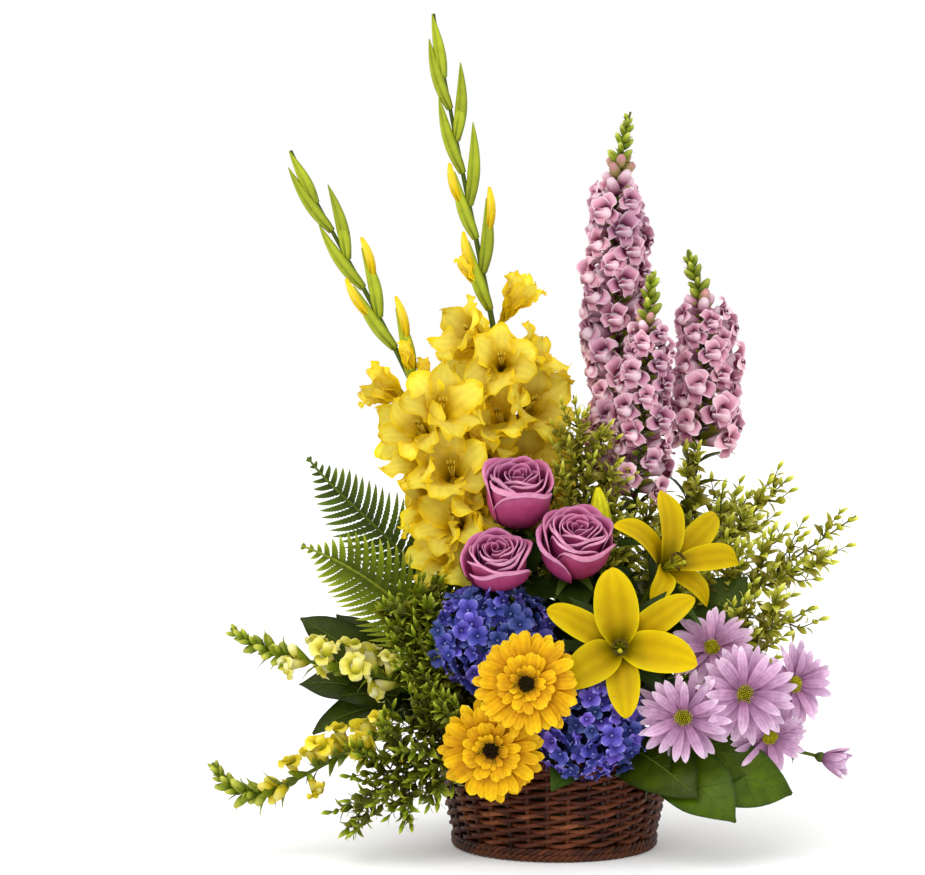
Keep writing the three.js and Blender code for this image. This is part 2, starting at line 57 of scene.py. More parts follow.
SKY = np.array([0.0, 0.0, 1.0])
FRONT = np.array([0.0, -1.0, 0.0])
GOLDEN = 137.508  # degrees from one petal or floret to the next in a plant's spiral


# ---------------- lines and grids

def unit(v):
    v = np.asarray(v, float)
    return v / np.linalg.norm(v)


def spline(keys, share):
    """A smooth line through evenly spaced keys, read at shares from 0 to 1."""
    keys = np.asarray(keys, float)
    flat = keys.ndim == 1
    if flat:
        keys = keys[:, None]
    spans = len(keys) - 1
    x = np.clip(np.asarray(share, float), 0, 1) * spans
    i = np.minimum(x.astype(int), spans - 1)
    t = (x - i)[..., None]
    padded = np.vstack([2 * keys[0] - keys[1], keys, 2 * keys[-1] - keys[-2]])
    a, b, c, d = (padded[i + k] for k in range(4))
    found = b + 0.5 * t * (c - a + t * (2 * a - 5 * b + 4 * c - d + t * (3 * b - a - 3 * c + d)))
    return found[..., 0] if flat else found


def curve(keys, count):
    """Evenly read points of the smooth line through the keys."""
    return spline(keys, np.linspace(0, 1, count))


def along(path, share):
    """Points at these shares of a path's length."""
    gaps = np.linalg.norm(np.diff(path, axis=0), axis=1)
    run = np.concatenate([[0], np.cumsum(gaps)])
    run /= run[-1]
    return np.stack([np.interp(share, run, path[:, k]) for k in range(3)], -1)


def heading(path, share):
    """The direction of a path at one share of its length."""
    return unit(along(path, min(share + 0.02, 1)) - along(path, max(share - 0.02, 0)))


def spot(path, share):
    """The point at one share of a path's length, and the direction there."""
    return along(path, share), heading(path, share)


def share_at(path, height):
    """The share of a rising path's length at a height."""
    shares = np.linspace(0, 1, 200)
    return float(np.interp(height, along(path, shares)[:, 2], shares))


def span(path):
    return np.linalg.norm(np.diff(path, axis=0), axis=1).sum()


def nearest(points, path, steps):
    """For each point, the share of the path's length where it passes nearest, and that place."""
    ladder = along(path, np.linspace(0, 1, steps))
    index = np.linalg.norm(points[:, None] - ladder[None], axis=2).argmin(1)
    return index / (steps - 1), ladder[index]


def axes(facing, up=SKY):
    """A head's own axes as rows: right, up and facing. A local point @ axes is a point in the frame."""
    z = unit(facing)
    x = unit(np.cross(up, z))
    return np.array([x, np.cross(z, x), z])


def level_axes(facing):
    """The same, for a head that may also face straight up or down."""
    return axes(facing, SKY if abs(unit(facing) @ SKY) < 0.95 else FRONT)


def spoke(degrees, side=np.eye(3)):
    """The way out from a head's axis, turned round it."""
    turn = math.radians(degrees)
    return np.array([math.cos(turn), math.sin(turn), 0]) @ side


def around(grid, degrees):
    """A grid turned about its own z axis."""
    c, s = math.cos(math.radians(degrees)), math.sin(math.radians(degrees))
    return grid @ np.array([[c, s, 0], [-s, c, 0], [0, 0, 1]])


def petal(length, width, outline, lift, cup=(0, 0), start=0.0, rise=0.0, ruffle=0.0, waves=3.0,
        phase=0.0, twist=0.0, sway=0.0, blunt=0, size=(9, 5)):
    """A petal or leaf as a grid. Its midrib leaves the z axis along x at the lift angles, in degrees from
    base to tip. outline is its width from base to tip as a share of width, cup is how far its edges curl
    up, in radians, ruffle is the height of its edge waves, sway bends it sideways, blunt rounds its tip
    and size is its count of rows and columns."""
    rows, cols = size
    t = np.linspace(0, 1, rows)
    v = 1.5 * t - 0.5 * t * t
    u = np.linspace(-1, 1, cols)[None, :]
    fine = np.linspace(0, 1, 41)
    angle = np.radians(spline(lift, fine))
    step = length / 40

    def summed(slope):
        return np.concatenate([[0], np.cumsum((slope[1:] + slope[:-1]) / 2)]) * step

    half = spline(outline, v)
    if blunt:
        half = half * np.sqrt(np.clip(1 - v ** blunt, 0, 1))
    half = (width / 2 * np.maximum(half, 0.035))[:, None]
    curl = spline(cup, v)
    curl = np.where(np.abs(curl) < 1e-3, 1e-3, curl)[:, None]
    aside = half * np.sin(u * curl) / curl
    above = half * (1 - np.cos(u * curl)) / curl
    wave = 2 * math.pi * waves * v[:, None] + phase + (u > 0) * 2.1
    above = above + ruffle * np.abs(u) ** 1.6 * np.sin(wave) * np.sqrt(v)[:, None]
    turn = (twist * v)[:, None]
    aside, above = aside * np.cos(turn) - above * np.sin(turn), aside * np.sin(turn) + above * np.cos(turn)
    a = np.interp(v, fine, angle)[:, None]
    x = np.interp(v, fine, start + summed(np.cos(angle)))[:, None] - above * np.sin(a)
    z = np.interp(v, fine, rise + summed(np.sin(angle)))[:, None] + above * np.cos(a)
    y = aside + (sway * v * v)[:, None]
    return np.stack(np.broadcast_arrays(x, y, z), -1)


def rings(path, radius, sides, flat=1.0, towards=None):
    """Rings of points round a path. flat squeezes them across the direction towards."""
    path = np.asarray(path, float)
    radius = np.broadcast_to(np.asarray(radius, float), len(path))
    steps = np.gradient(path, axis=0)
    steps /= np.linalg.norm(steps, axis=1)[:, None]
    first = np.cross(steps[0], [0.3, 0.2, 0.93]) if towards is None else np.asarray(towards, float)
    side = unit(first - steps[0] * (first @ steps[0]))
    turn = np.linspace(0, 2 * math.pi, sides, endpoint=False)
    grid = np.empty((len(path), sides, 3))
    for i, ahead in enumerate(steps):
        side = unit(side - ahead * (side @ ahead))
        ring = np.cos(turn)[:, None] * side * flat + np.sin(turn)[:, None] * np.cross(ahead, side)
        grid[i] = path[i] + radius[i] * ring
    return grid


class Skin:
    """Collects one piece's points and faces. Each point keeps where it is on its own petal: across from
    -1 to 1, along from 0 to 1, and the petal's own tint from 0 to 1, for the finishes to read."""

    def __init__(self, seed):
        self.random = np.random.default_rng(seed)
        self.chance, self.between = self.random.random, self.random.uniform
        self.points, self.marks, self.faces, self.finish_of, self.finishes = [], [], [], [], []
        self.count = 0

    def stray(self, spread, *shape):
        """A random step to either side, about as long as the spread."""
        return self.random.normal(0, spread, *shape)

    def close(self, faces, finish):
        """Adds faces between points that are already there."""
        if finish not in self.finishes:
            self.finishes.append(finish)
        self.faces += faces
        self.finish_of += [self.finishes.index(finish)] * len(faces)

    def sheet(self, grid, finish, tint=0.5, loop=False, flip=False):
        """Adds a grid of points. loop joins its last column to its first, and flip turns its faces over."""
        rows, cols = grid.shape[:2]
        u = np.linspace(-1, 1, cols)
        v = np.linspace(0, 1, rows)
        index = self.count + np.arange(rows * cols).reshape(rows, cols)
        if loop:
            index = np.hstack([index, index[:, :1]])
        corners = [index[:-1, :-1], index[:-1, 1:], index[1:, 1:], index[1:, :-1]]
        self.points.append(grid.reshape(-1, 3))
        self.marks.append(np.stack(np.broadcast_arrays(u[None, :], v[:, None], tint), -1).reshape(-1, 3))
        self.close(np.stack(corners[::-1] if flip else corners, -1).reshape(-1, 4).tolist(), finish)
        self.count += rows * cols
        return index

    def blade(self, grid, turn, place, side, finish, tint):
        """A petal or leaf, turned round its head's axis and set at the head's place."""
        self.sheet(place + around(grid, turn) @ side, finish, tint)

    def whorl(self, grid, turns, place, side, finish, tint=None):
        """The same blade at each of these turns."""
        for turn in turns:
            self.blade(grid, turn, place, side, finish, self.chance() if tint is None else tint)

    def tube(self, path, radius, finish, tint=0.5, sides=7, flat=1.0, towards=None):
        """A closed rod along a path. Two radii taper it from one to the other."""
        if np.shape(radius) == (2,):
            radius = np.linspace(*radius, len(path))
        index = self.sheet(rings(path, radius, sides, flat, towards), finish, tint, loop=True)
        self.close([index[0, :-1][::-1].tolist(), index[-1, :-1].tolist()], finish)

    def spindle(self, base, tip, width, outline, finish, tint=0.5, sides=8, rows=9, flat=1.0, towards=None,
            bend=None):
        """A closed bud from base to tip, swollen to the outline, with a bend in the middle."""
        share = np.linspace(0, 1, rows)
        path = base + (np.asarray(tip) - base) * share[:, None]
        if bend is not None:
            path = path + np.sin(share * math.pi)[:, None] * bend
        radius = width / 2 * np.maximum(spline(outline, share), 0.05)
        self.tube(path, radius, finish, tint, sides, flat, towards)

    def leaf(self, place, turn, length, width, finish, lift=(38, 22, 8, -12), rows=9, tint=None):
        """One leaf with a pointed tip, leaving a stem at a spot of it and turned round it."""
        blade = petal(length, width, (0.08, 0.5, 0.95, 1.0, 0.78, 0.4, 0.0), lift, cup=(0.7, 0.5, 0.3),
            size=(rows, 5), ruffle=width * 0.03, phase=turn)
        base, ahead = place
        self.blade(blade, turn, base, level_axes(ahead), finish, self.chance() if tint is None else tint)

    def seat(self, centre):
        """Moves all that is drawn so far, so that the middle of its box is at centre."""
        drawn = np.vstack(self.points)
        shift = centre - (drawn.min(0) + drawn.max(0)) / 2
        self.points = [points + shift for points in self.points]
        return shift

    def piece(self, node, slot, ending="fresh"):
        """Builds the piece, in metres, riding the body and standing for its CAD node."""
        name = f"{node}_{ending}"
        mesh = bpy.data.meshes.new(name)
        mesh.from_pydata((np.vstack(self.points) * MM).tolist(), [], self.faces)
        marks = mesh.attributes.new("growth", "FLOAT_VECTOR", "POINT")
        marks.data.foreach_set("vector", np.vstack(self.marks).astype(np.float32).ravel())
        for finish in self.finishes:
            mesh.materials.append(finish)
        mesh.polygons.foreach_set("material_index", self.finish_of)
        mesh.shade_smooth()
        mesh.update()
        piece = bpy.data.objects.new(name, mesh)
        bpy.context.scene.collection.objects.link(piece)
        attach(piece, "root")
        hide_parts(node)


# ---------------- reading the CAD frame

def corners(node):
    """A CAD node's points, in millimetres."""
    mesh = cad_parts[node].data
    co = np.empty(len(mesh.vertices) * 3, np.float32)
    mesh.vertices.foreach_get("co", co)
    return co.reshape(-1, 3).astype(float) / MM


def edge_ends(node):
    """Both ends of every edge of a CAD node, in millimetres."""
    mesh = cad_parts[node].data
    edges = np.empty(len(mesh.edges) * 2, np.int32)
    mesh.edges.foreach_get("vertices", edges)
    co = corners(node)
    return co[edges[0::2]], co[edges[1::2]]


def box(node):
    low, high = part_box(node)
    return np.array(low) / MM, np.array(high) / MM


def middle(node):
    low, high = box(node)
    return (low + high) / 2


def centre_line(node, steps=28):
    """The middle of a stem's mesh at growing distances from the heart, smoothed to one curve."""
    a, b = edge_ends(node)
    near, far = np.linalg.norm(a - HEART, axis=1), np.linalg.norm(b - HEART, axis=1)
    found = []
    for r in np.linspace(FOOT_REACH + 2, max(near.max(), far.max()) - 1.5, steps):
        cut = (near - r) * (far - r) < 0
        if cut.any():
            t = ((r - near[cut]) / (far[cut] - near[cut]))[:, None]
            found.append((r, *(a[cut] + (b[cut] - a[cut]) * t).mean(0)))
    found = np.array(found)
    r = np.linspace(found[0, 0], found[-1, 0], 40)
    return np.stack([np.polyval(np.polyfit(found[:, 0], found[:, k], 4), r) for k in (1, 2, 3)], -1)


def end_near(node, place, within):
    """The end of a CAD node that is nearest to a place: the middle of the corners there."""
    points = corners(node)
    gaps = np.linalg.norm(points - place, axis=1)
    return points[gaps < gaps.min() + within].mean(0)


def stem_end(name):
    """Where the stem of a head ends, and the middle of the head's CAD bloom."""
    centre = middle(f"{name}_bloom")
    return end_near(f"{name}_stem", centre, 4), centre


def stem_aim(node):
    """The direction in which a stem leaves the heart."""
    points = corners(node)
    return unit(points[np.linalg.norm(points - HEART, axis=1) < STEM_ONLY].mean(0) - HEART)


def thin_side(points, towards):
    """The direction across the thinnest side of some points, on the side of towards."""
    normal = np.linalg.svd(points - points.mean(0), full_matrices=False)[2][2]
    return -normal if normal @ towards < 0 else normal


def flat_facing(node, end):
    """A flat head's facing: across its thinnest side, away from its stem."""
    return thin_side(corners(node), middle(node) - end)


# ---------------- finishes

def colour(code):
    """An sRGB hex value as linear RGBA."""
    parts = [int(code[i:i + 2], 16) / 255 for i in (1, 3, 5)]
    return [p / 12.92 if p <= 0.04045 else ((p + 0.055) / 1.055) ** 2.4 for p in parts] + [1.0]


def add(tree, kind, links=None, **settings):
    """Adds a node. links gives its inputs a value or another node's output."""
    node = tree.nodes.new(kind)
    for name, value in settings.items():
        setattr(node, name, value)
    for socket, value in (links or {}).items():
        if isinstance(value, bpy.types.NodeSocket):
            tree.links.new(value, node.inputs[socket])
        else:
            node.inputs[socket].default_value = value
    return node


def calc(tree, operation, *values):
    return add(tree, "ShaderNodeMath", dict(enumerate(values)), operation=operation).outputs[0]


def remap(tree, value, old, new):
    """Stretches the old range of a value over the new one."""
    links = {"Value": value, "From Min": old[0], "From Max": old[1], "To Min": new[0], "To Max": new[1]}
    return add(tree, "ShaderNodeMapRange", links).outputs[0]


def mix(tree, factor, a, b, blend_type="MULTIPLY"):
    links = {"Factor": factor, "A": a, "B": b}
    return add(tree, "ShaderNodeMix", links, data_type="RGBA", blend_type=blend_type).outputs["Result"]


def noise(tree, size, detail=3.0, roughness=0.5):
    """Grain on the piece itself, with specks of this size in millimetres."""
    place = add(tree, "ShaderNodeTexCoord").outputs["Object"]
    links = {"Vector": place, "Scale": 1 / (size * MM), "Detail": detail, "Roughness": roughness}
    return add(tree, "ShaderNodeTexNoise", links).outputs["Fac"]


def ramp(tree, factor, stops):
    """A colour ramp, from stops written as a place and a colour, and so on."""
    node = add(tree, "ShaderNodeValToRGB", {"Fac": factor})
    words = stops.split()
    elements = node.color_ramp.elements
    while len(elements) < len(words) / 2:
        elements.new(0.5)
    for element, place, code in zip(elements, words[0::2], words[1::2]):
        element.position = float(place)
        element.color = colour(code)
    return node.outputs["Color"]


def growth(tree):
    """What each point knows of its place: across its petal, along it, and the petal's own tint."""
    vector = add(tree, "ShaderNodeAttribute", attribute_name="growth").outputs["Vector"]
    return add(tree, "ShaderNodeSeparateXYZ", {"Vector": vector}).outputs


def coated(tree, base, height, relief, depth, rough, **more):
    """A surface with a relief this deep, in millimetres: its shader, and the relief's normal."""
    links = {"Height": height, "Strength": relief, "Distance": depth * MM}
    bump = add(tree, "ShaderNodeBump", links).outputs["Normal"]
    links = {"Base Color": base, "Roughness": rough, "Normal": bump}
    links |= {socket.replace("_", " "): value for socket, value in more.items()}
    return add(tree, "ShaderNodeBsdfPrincipled", links).outputs[0], bump


def finish_tree(name):
    material = bpy.data.materials.new(name)
    material.use_nodes = True
    material.node_tree.nodes.clear()
    return material, material.node_tree


def tissue(name, stops, veins=0, vein_depth=0.2, edge=None, edge_width=4.0, spread=0.25, hue=0.0,
        patch=6.0, patch_depth=0.15, rough=0.5, glow=0.3, glow_tint=None, coat=0.0, relief=0.25,
        specular=0.18):
    """Living plant skin. stops colour it from base to tip, veins is how many run across it, edge is the
    colour of its rim, spread is how far petals differ, patch is the size of its mottling in mm, glow is
    the share of light that passes through it, and glow_tint colours that light."""
    material, tree = finish_tree(name)
    across, ahead, own = growth(tree)
    mottle = noise(tree, patch, roughness=0.6)
    shift = calc(tree, "MULTIPLY_ADD", calc(tree, "SUBTRACT", mottle, 0.5), 0.1, ahead)
    base = ramp(tree, shift, stops)
    if edge:
        rim = calc(tree, "POWER", calc(tree, "ABSOLUTE", across), edge_width)
        base = mix(tree, rim, base, colour(edge), "MIX")
    height = mottle
    if veins:
        wave = calc(tree, "COSINE", calc(tree, "MULTIPLY", across, veins * math.pi))
        height = remap(tree, wave, (-1, 1), (1 - vein_depth, 1))
        base = mix(tree, 1.0, base, height)
    dull = remap(tree, mottle, (0.3, 0.7), (1 - patch_depth, 1 + patch_depth))
    bright = calc(tree, "MULTIPLY", dull, remap(tree, own, (0, 1), (1 - spread, 1 + spread)))
    turn = remap(tree, own, (0, 1), (0.5 - hue, 0.5 + hue))
    links = {"Color": base, "Value": bright, "Hue": turn}
    base = add(tree, "ShaderNodeHueSaturation", links).outputs["Color"]
    skin, bump = coated(tree, base, height, relief, 0.4, rough, Specular_IOR_Level=specular,
        Coat_Weight=coat, Coat_Roughness=0.25)
    through = mix(tree, 0.8, base, colour(glow_tint)) if glow_tint else base
    light = add(tree, "ShaderNodeBsdfTranslucent", {"Color": through, "Normal": bump}).outputs[0]
    both = add(tree, "ShaderNodeMixShader", {0: glow, 1: skin, 2: light}).outputs[0]
    add(tree, "ShaderNodeOutputMaterial", {"Surface": both})
    return material


# Woody green stems: a dull skin with faint lengthwise ribs.
cut_stem = tissue("cut_green_stem", "0 #343f08 1 #56660e", veins=5, vein_depth=0.25, spread=0.2, rough=0.55,
    glow=0.0)
gladiolus_stem = tissue("gladiolus_stem_skin", "0 #4a600c 1 #465808", veins=4, vein_depth=0.3, glow=0.0)
# Sheathing green bracts: parallel ribs, yellower at the rim where they thin out.
spathe = tissue("gladiolus_spathe", "0 #5a6c0a 0.55 #95a51e 1 #7e8c14", veins=5, vein_depth=0.25,
    edge="#b9c22e", spread=0.14, rough=0.45, glow=0.12, patch=12, patch_depth=0.1)
# Thin, crisp gladiolus tepals: cream down the middle, deep yellow at the ruffled rim, ochre in the throat.
gladiolus_tepal = tissue("gladiolus_tepal",
    "0 #5e4a00 0.16 #9e7e00 0.34 #d4b008 0.6 #efdc58 0.85 #f6e856 1 #f3d206", veins=4, vein_depth=0.07,
    edge="#f3d408", edge_width=2.6, spread=0.2, hue=0.006, rough=0.6, glow=0.42, patch=14, patch_depth=0.05)
# Velvet snapdragon lips: pale pink-lilac at the rolled rim as a painted highlight, and magenta where they
# fold into the throat, darkened there as painted shade.
VELVET = {"rough": 0.65, "patch": 5, "patch_depth": 0.08}
snapdragon_lip = tissue("snapdragon_lip", "0 #4e1028 0.25 #8c4264 0.54 #d89cb4 1 #fbe2ea",
    edge="#f6dae6", edge_width=6, spread=0.2, hue=0.012, glow=0.32, **VELVET)
# Shut snapdragon buds: smooth skins, green and blushing with what they hide.
snapdragon_bud = tissue("snapdragon_bud", "0 #6f7c20 0.5 #9a8a50 1 #c48a8c", spread=0.2, glow=0.1)
snapdragon_green = tissue("snapdragon_green_bud", "0 #465a10 0.6 #84921e 1 #bcc056", spread=0.28, glow=0.12)
# Yellow snapdragons: the same velvet in cream and in gold, over yellow-green buds.
cream_lip = tissue("yellow_snapdragon_lip", "0 #8c9212 0.25 #cfc632 0.6 #f0e87c 1 #fbf8c4", spread=0.14,
    glow=0.35, **VELVET)
golden_lip = tissue("golden_snapdragon_lip", "0 #858408 0.25 #c4b010 0.6 #ead636 1 #f4ea84", spread=0.2,
    glow=0.35, **VELVET)
cream_bud = tissue("yellow_snapdragon_bud", "0 #465a0a 0.5 #7e8e1e 1 #bebe4e", spread=0.28, glow=0.15)
# Thick, silky rose petals: pale mauve at the rolled lips as a painted highlight, and deep magenta towards
# the heart as painted shade where the petals fold in.
SILK = {"hue": 0.012, "rough": 0.55, "patch": 8, "relief": 0.12}
rose_petal = tissue("mauve_rose_petal_painted_light", "0 #420824 0.44 #6a1842 0.7 #9c3c6e 0.84 #cb7ca4 1 #efbad0",
    spread=0.2, glow=0.16, patch_depth=0.08, **SILK)
rose_back = tissue("mauve_rose_outer_petal", "0 #8c2450 0.5 #ae4272 0.82 #c26a96 1 #e6a6c4", spread=0.1,
    glow=0.12, patch_depth=0.1, **SILK)
# Waxy lily tepals: clear yellow with a green-gold groove along the midrib.
lily_tepal = tissue("lily_tepal", "0 #5c6a06 0.12 #8c7800 0.32 #c6a200 1 #e8c600", veins=3,
    vein_depth=0.12, edge="#f4dc0c", edge_width=5, spread=0.08, patch=14, patch_depth=0.06, specular=0.1)
# The shut lily bud: ribbed and greener.
lily_bud_skin = tissue("lily_bud_skin", "0 #98a60e 0.4 #c4c20e 1 #d8cf10", veins=3, vein_depth=0.25,
    spread=0.08, rough=0.45, glow=0.15)
# Dark, powdery anthers on smooth pale green filaments.
anther = tissue("lily_anther", "0 #3a3208 1 #57480e", spread=0.2, rough=0.9, glow=0.0, patch=1.0, relief=0.6)
filament = tissue("lily_filament", "0 #8c9a10 1 #b8b42c", spread=0.1, glow=0.1)
# Matt gerbera rays: golden, paler at the tip, with a fold line or two along each.
gerbera_ray = tissue("gerbera_ray", "0 #a26c00 0.3 #cf9000 0.65 #e8b000 1 #f6cc18", veins=2,
    vein_depth=0.14, spread=0.13, hue=0.008, rough=0.65, glow=0.25)
# Rough gerbera centres: an olive ring round a nearly black eye.
gerbera_disc = tissue("gerbera_disc_floret", "0 #4a4608 1 #a8981a", spread=0.3, rough=0.8, glow=0.0)
gerbera_eye = tissue("gerbera_dark_eye", "0 #160a06 1 #2c140a", spread=0.3, rough=0.8, glow=0.0)
# Papery hydrangea sepals: blue-violet, no two florets quite alike, darker at their bases and whitish-lilac
# at their tips as a painted highlight.
hydrangea_sepal_painted_highlight = tissue("hydrangea_sepal_painted_highlight", "0 #2a2770 0.3 #4543a6 0.75 #6c6acb 1 #a8a2ea", veins=3,
    vein_depth=0.14, spread=0.42, hue=0.024, rough=0.65, glow=0.22)
# A small pale eye in each hydrangea floret, and near-black stalks and core behind them: painted shade inside
# the mop.
hydrangea_eye = tissue("hydrangea_eye", "0 #4a4e9c 1 #8088cc", spread=0.2, rough=0.6, glow=0.1)
hydrangea_painted_shade = tissue("hydrangea_painted_shade", "0 #0e0e24 1 #161636", spread=0.2, rough=0.9, glow=0.0)
# Pale lilac daisy rays with fine lengthwise lines, whiter at the tip and deepened towards the disc as
# painted shade between the crowded rays.
daisy_ray = tissue("daisy_ray", "0 #7c4670 0.25 #b683aa 0.65 #dcb2d4 1 #f6e0f2", veins=3,
    vein_depth=0.15, spread=0.18, hue=0.008, rough=0.65)
# Rough green-gold daisy centres.
daisy_eye = tissue("daisy_disc_floret", "0 #68700a 1 #b8b018", spread=0.3, rough=0.8, glow=0.0)
# Fern blades: thin and matt, darker towards the rachis; two fronds take a lighter, yellower copy.
fern_dark = tissue("fern_blade_dark", "0 #283604 0.5 #45580c 1 #687a22", rough=0.6, glow=0.18)
fern_light = tissue("fern_blade_light", "0 #3e4a04 0.5 #6a7a08 1 #a8b038", spread=0.28, rough=0.6, glow=0.25)
# Leathery salal leaves: glossy deep green, darker at the rim, that let a yellow-green light through.
salal_leaf = tissue("salal_leaf", "0 #364602 0.5 #435402 1 #344202", edge="#24380a", edge_width=6,
    spread=0.42, hue=0.012, rough=0.4, glow=0.14, glow_tint="#d0e040", patch=16, patch_depth=0.28,
    specular=0.14)
# Their ribs and veins: smooth, and lighter than the blade.
leaf_rib = tissue("leaf_rib", "0 #5f7422 1 #445a16", spread=0.1, glow=0.0)
# Softer leaves on the flowers' own stems, coloured very dark as painted shade for leaves deep in the
# arrangement.
stem_leaf_painted_shade = tissue("soft_stem_leaf", "0 #1e2c06 0.5 #2a3c08 1 #34480c", veins=3, spread=0.35, hue=0.01,
    rough=0.55, glow=0.12, patch=10, patch_depth=0.2)
# Small myrtle leaves: some yellow-green and new, some dark and old.
myrtle_leaf = tissue("myrtle_leaf", "0 #343c08 0.4 #66700e 1 #b0b038", spread=0.62, hue=0.016, rough=0.45,
    glow=0.24, coat=0.04)
# The sprigs at the right and top: the same leaves, yellower, and brighter as painted light for sprigs that
# catch the key light.
painted_sunlit_myrtle_leaf = tissue("painted_sunlit_myrtle_leaf", "0 #6a7010 0.4 #aca82e 1 #e4de78", spread=0.5, hue=0.016,
    rough=0.45, glow=0.4, coat=0.04)
# Thin, dull, brown-green twigs.
myrtle_twig = tissue("myrtle_twig", "0 #3e3410 1 #5e6018", spread=0.2, rough=0.6, glow=0.0)


def wicker(name, stops, spread):
    """Stained willow rods: brown skin with darker and redder lengths, fine grain along each rod and a
    waxy shine on top."""
    material, tree = finish_tree(name)
    stain, grain = noise(tree, 26, 4.0), noise(tree, 2.2)
    own = calc(tree, "MULTIPLY_ADD", growth(tree)[2], spread, stain)
    base = ramp(tree, calc(tree, "SUBTRACT", own, spread / 2), stops)
    base = mix(tree, 1.0, base, remap(tree, grain, (0.3, 0.7), (0.7, 1.25)))
    skin = coated(tree, base, grain, 0.5, 0.5, 0.5, Specular_IOR_Level=0.18, Coat_Weight=0.05,
        Coat_Roughness=0.3)[0]
    add(tree, "ShaderNodeOutputMaterial", {"Surface": skin})
    return material


# Red-brown weavers over stakes that are nearly black: partly dark stain, partly painted shade for the dark
# columns between the weavers.
weaver_skin = wicker("stained_willow_weaver", "0.25 #381204 0.45 #50230c 0.6 #623016 0.8 #86502c", 0.32)
stake_stain_and_shade = wicker("stained_and_shaded_willow_stake", "0.3 #240c04 0.7 #54280f", 0.3)


def moulded(name, stops, patch, rough, relief, coat=0.0):
    """Foam or moulded plastic: one colour broken up by its own grain."""
    material, tree = finish_tree(name)
    grain = noise(tree, patch, 4.0)
    skin = coated(tree, ramp(tree, grain, stops), grain, relief, 0.6, rough, Coat_Weight=coat)[0]
    add(tree, "ShaderNodeOutputMaterial", {"Surface": skin})
    return material


# Wet phenolic foam: dark green and crumbly, with pores about a millimetre across.
wet_foam = moulded("wet_floral_foam", "0.35 #16240f 0.6 #27401c", 1.4, 0.9, 0.9)
# Vacuum-formed polythene: dark green, softly shiny and a little wavy.
liner_plastic = moulded("vacuum_formed_polythene", "0.3 #0e1a10 0.7 #16281a", 30, 0.3, 0.2, coat=0.3)


# ---------------- the basket, liner and foam

STAKES = 34
WEAVER_PITCH = 4.3  # between one row of weaving and the next
WEAVER_RADIUS = 2.35
WEAVE_DEPTH = 2.4  # how far a weaver moves in and out round the stakes
WEAVE_SLANT = 1.1  # how far it climbs while it is in front of a stake
STEPS_A_STAKE = 6
BASE_STICKS = 10
BASE_HEIGHT = 3.6  # the middle of the woven base


def wall_radius(z):
    """The wall's middle radius at a height: a straight taper with a slight belly."""
    low, high = box("basket_wall")
    foot = box("basket_base")[1][0]
    share = (z - low[2]) / (high[2] - low[2])
    return foot - 4.5 + (high[0] - foot + 0.5) * share + 1.5 * np.sin(share * math.pi)


def ring_path(turn, radius, height):
    return np.stack(np.broadcast_arrays(radius * np.cos(turn), radius * np.sin(turn), height), -1)


def weave_wall():
    skin = Skin(11)
    low, high = box("basket_wall")
    bottom, top = low[2] + 2, high[2] + 1
    turn = np.linspace(0, 2 * math.pi, STAKES * STEPS_A_STAKE + 1)
    rows = int((top - bottom) / WEAVER_PITCH)
    for row in range(rows):
        z = bottom + (row + 0.6) * (top - bottom) / rows
        phase = turn * STAKES / 2 + math.pi * row + skin.stray(0.1)
        wander = skin.stray(0.35, 9)
        wander[-1] = wander[0]
        height = z + WEAVE_SLANT * np.sin(phase) + spline(wander, turn / turn[-1])
        radius = wall_radius(z) + WEAVE_DEPTH * np.cos(phase)
        thick = WEAVER_RADIUS * (1 + 0.08 * spline(wander[::-1], turn / turn[-1]))
        rod = rings(ring_path(turn, radius, height), thick, 7)[:-1]
        index = skin.sheet(rod, weaver_skin, skin.chance(), loop=True)
        seam = [index[-1, :-1], index[-1, 1:], index[0, 1:], index[0, :-1]]
        skin.close(np.stack(seam, -1).tolist(), weaver_skin)
    for stake in range(STAKES):
        z = np.linspace(bottom - 1, top, 9)
        path = ring_path(2 * math.pi * stake / STAKES, wall_radius(z) + skin.stray(0.2), z)
        skin.tube(path, 2.3, stake_stain_and_shade, skin.chance())
    skin.piece("basket_wall", "wicker", "woven")


def twisted_ring(skin, radius, height, reach, rod, turns, finish):
    """Three rods twisted round each other into a ring."""
    turn = np.linspace(0, 2 * math.pi, turns * 9 + 1)
    for strand in range(3):
        phase = turn * turns + 2 * math.pi * strand / 3
        path = ring_path(turn, radius + reach * np.cos(phase), height + reach * np.sin(phase))
        grid = rings(path, rod * (1 + 0.06 * np.sin(turn * 5 + strand)), 7)
        skin.sheet(grid, finish, skin.chance(), loop=True)


def weave_border():
    skin = Skin(12)
    low, high = box("basket_border")
    reach = (high[2] - low[2]) / 2
    rod = reach * 0.52
    twisted_ring(skin, high[0] - reach, (low[2] + high[2]) / 2, rod, rod, 33, weaver_skin)
    skin.piece("basket_border", "wicker", "plaited")


def weave_base():
    """A foot wale round the edge, and a round base woven on crossed sticks."""
    skin = Skin(13)
    foot = box("basket_base")[1][0]
    # The foot wales take the nearly black stake finish: painted shade at the basket's foot.
    twisted_ring(skin, foot - 3.6, 4.0, 2.0, 2.1, 30, stake_stain_and_shade)
    twisted_ring(skin, foot - 3.0, 9.0, 1.8, 2.0, 28, stake_stain_and_shade)
    for ring in range(16):
        radius = 12 + ring * (foot - 22) / 15
        turn = np.linspace(0, 2 * math.pi, max(24, int(radius)) + 1)
        lift = 1.1 * np.cos(turn * BASE_STICKS + math.pi * ring)
        rod = rings(ring_path(turn, radius, BASE_HEIGHT + lift), 2.4, 6)
        skin.sheet(rod, weaver_skin, skin.chance(), loop=True)
    for stick in range(BASE_STICKS):
        a = math.pi * stick / BASE_STICKS
        reach = (foot - 5) * np.array([-1.0, -0.33, 0.33, 1.0])
        path = np.stack([reach * math.cos(a), reach * math.sin(a), np.full(4, BASE_HEIGHT)], -1)
        skin.tube(path, 1.9, stake_stain_and_shade, skin.chance(), sides=6)
    skin.piece("basket_base", "wicker", "woven")


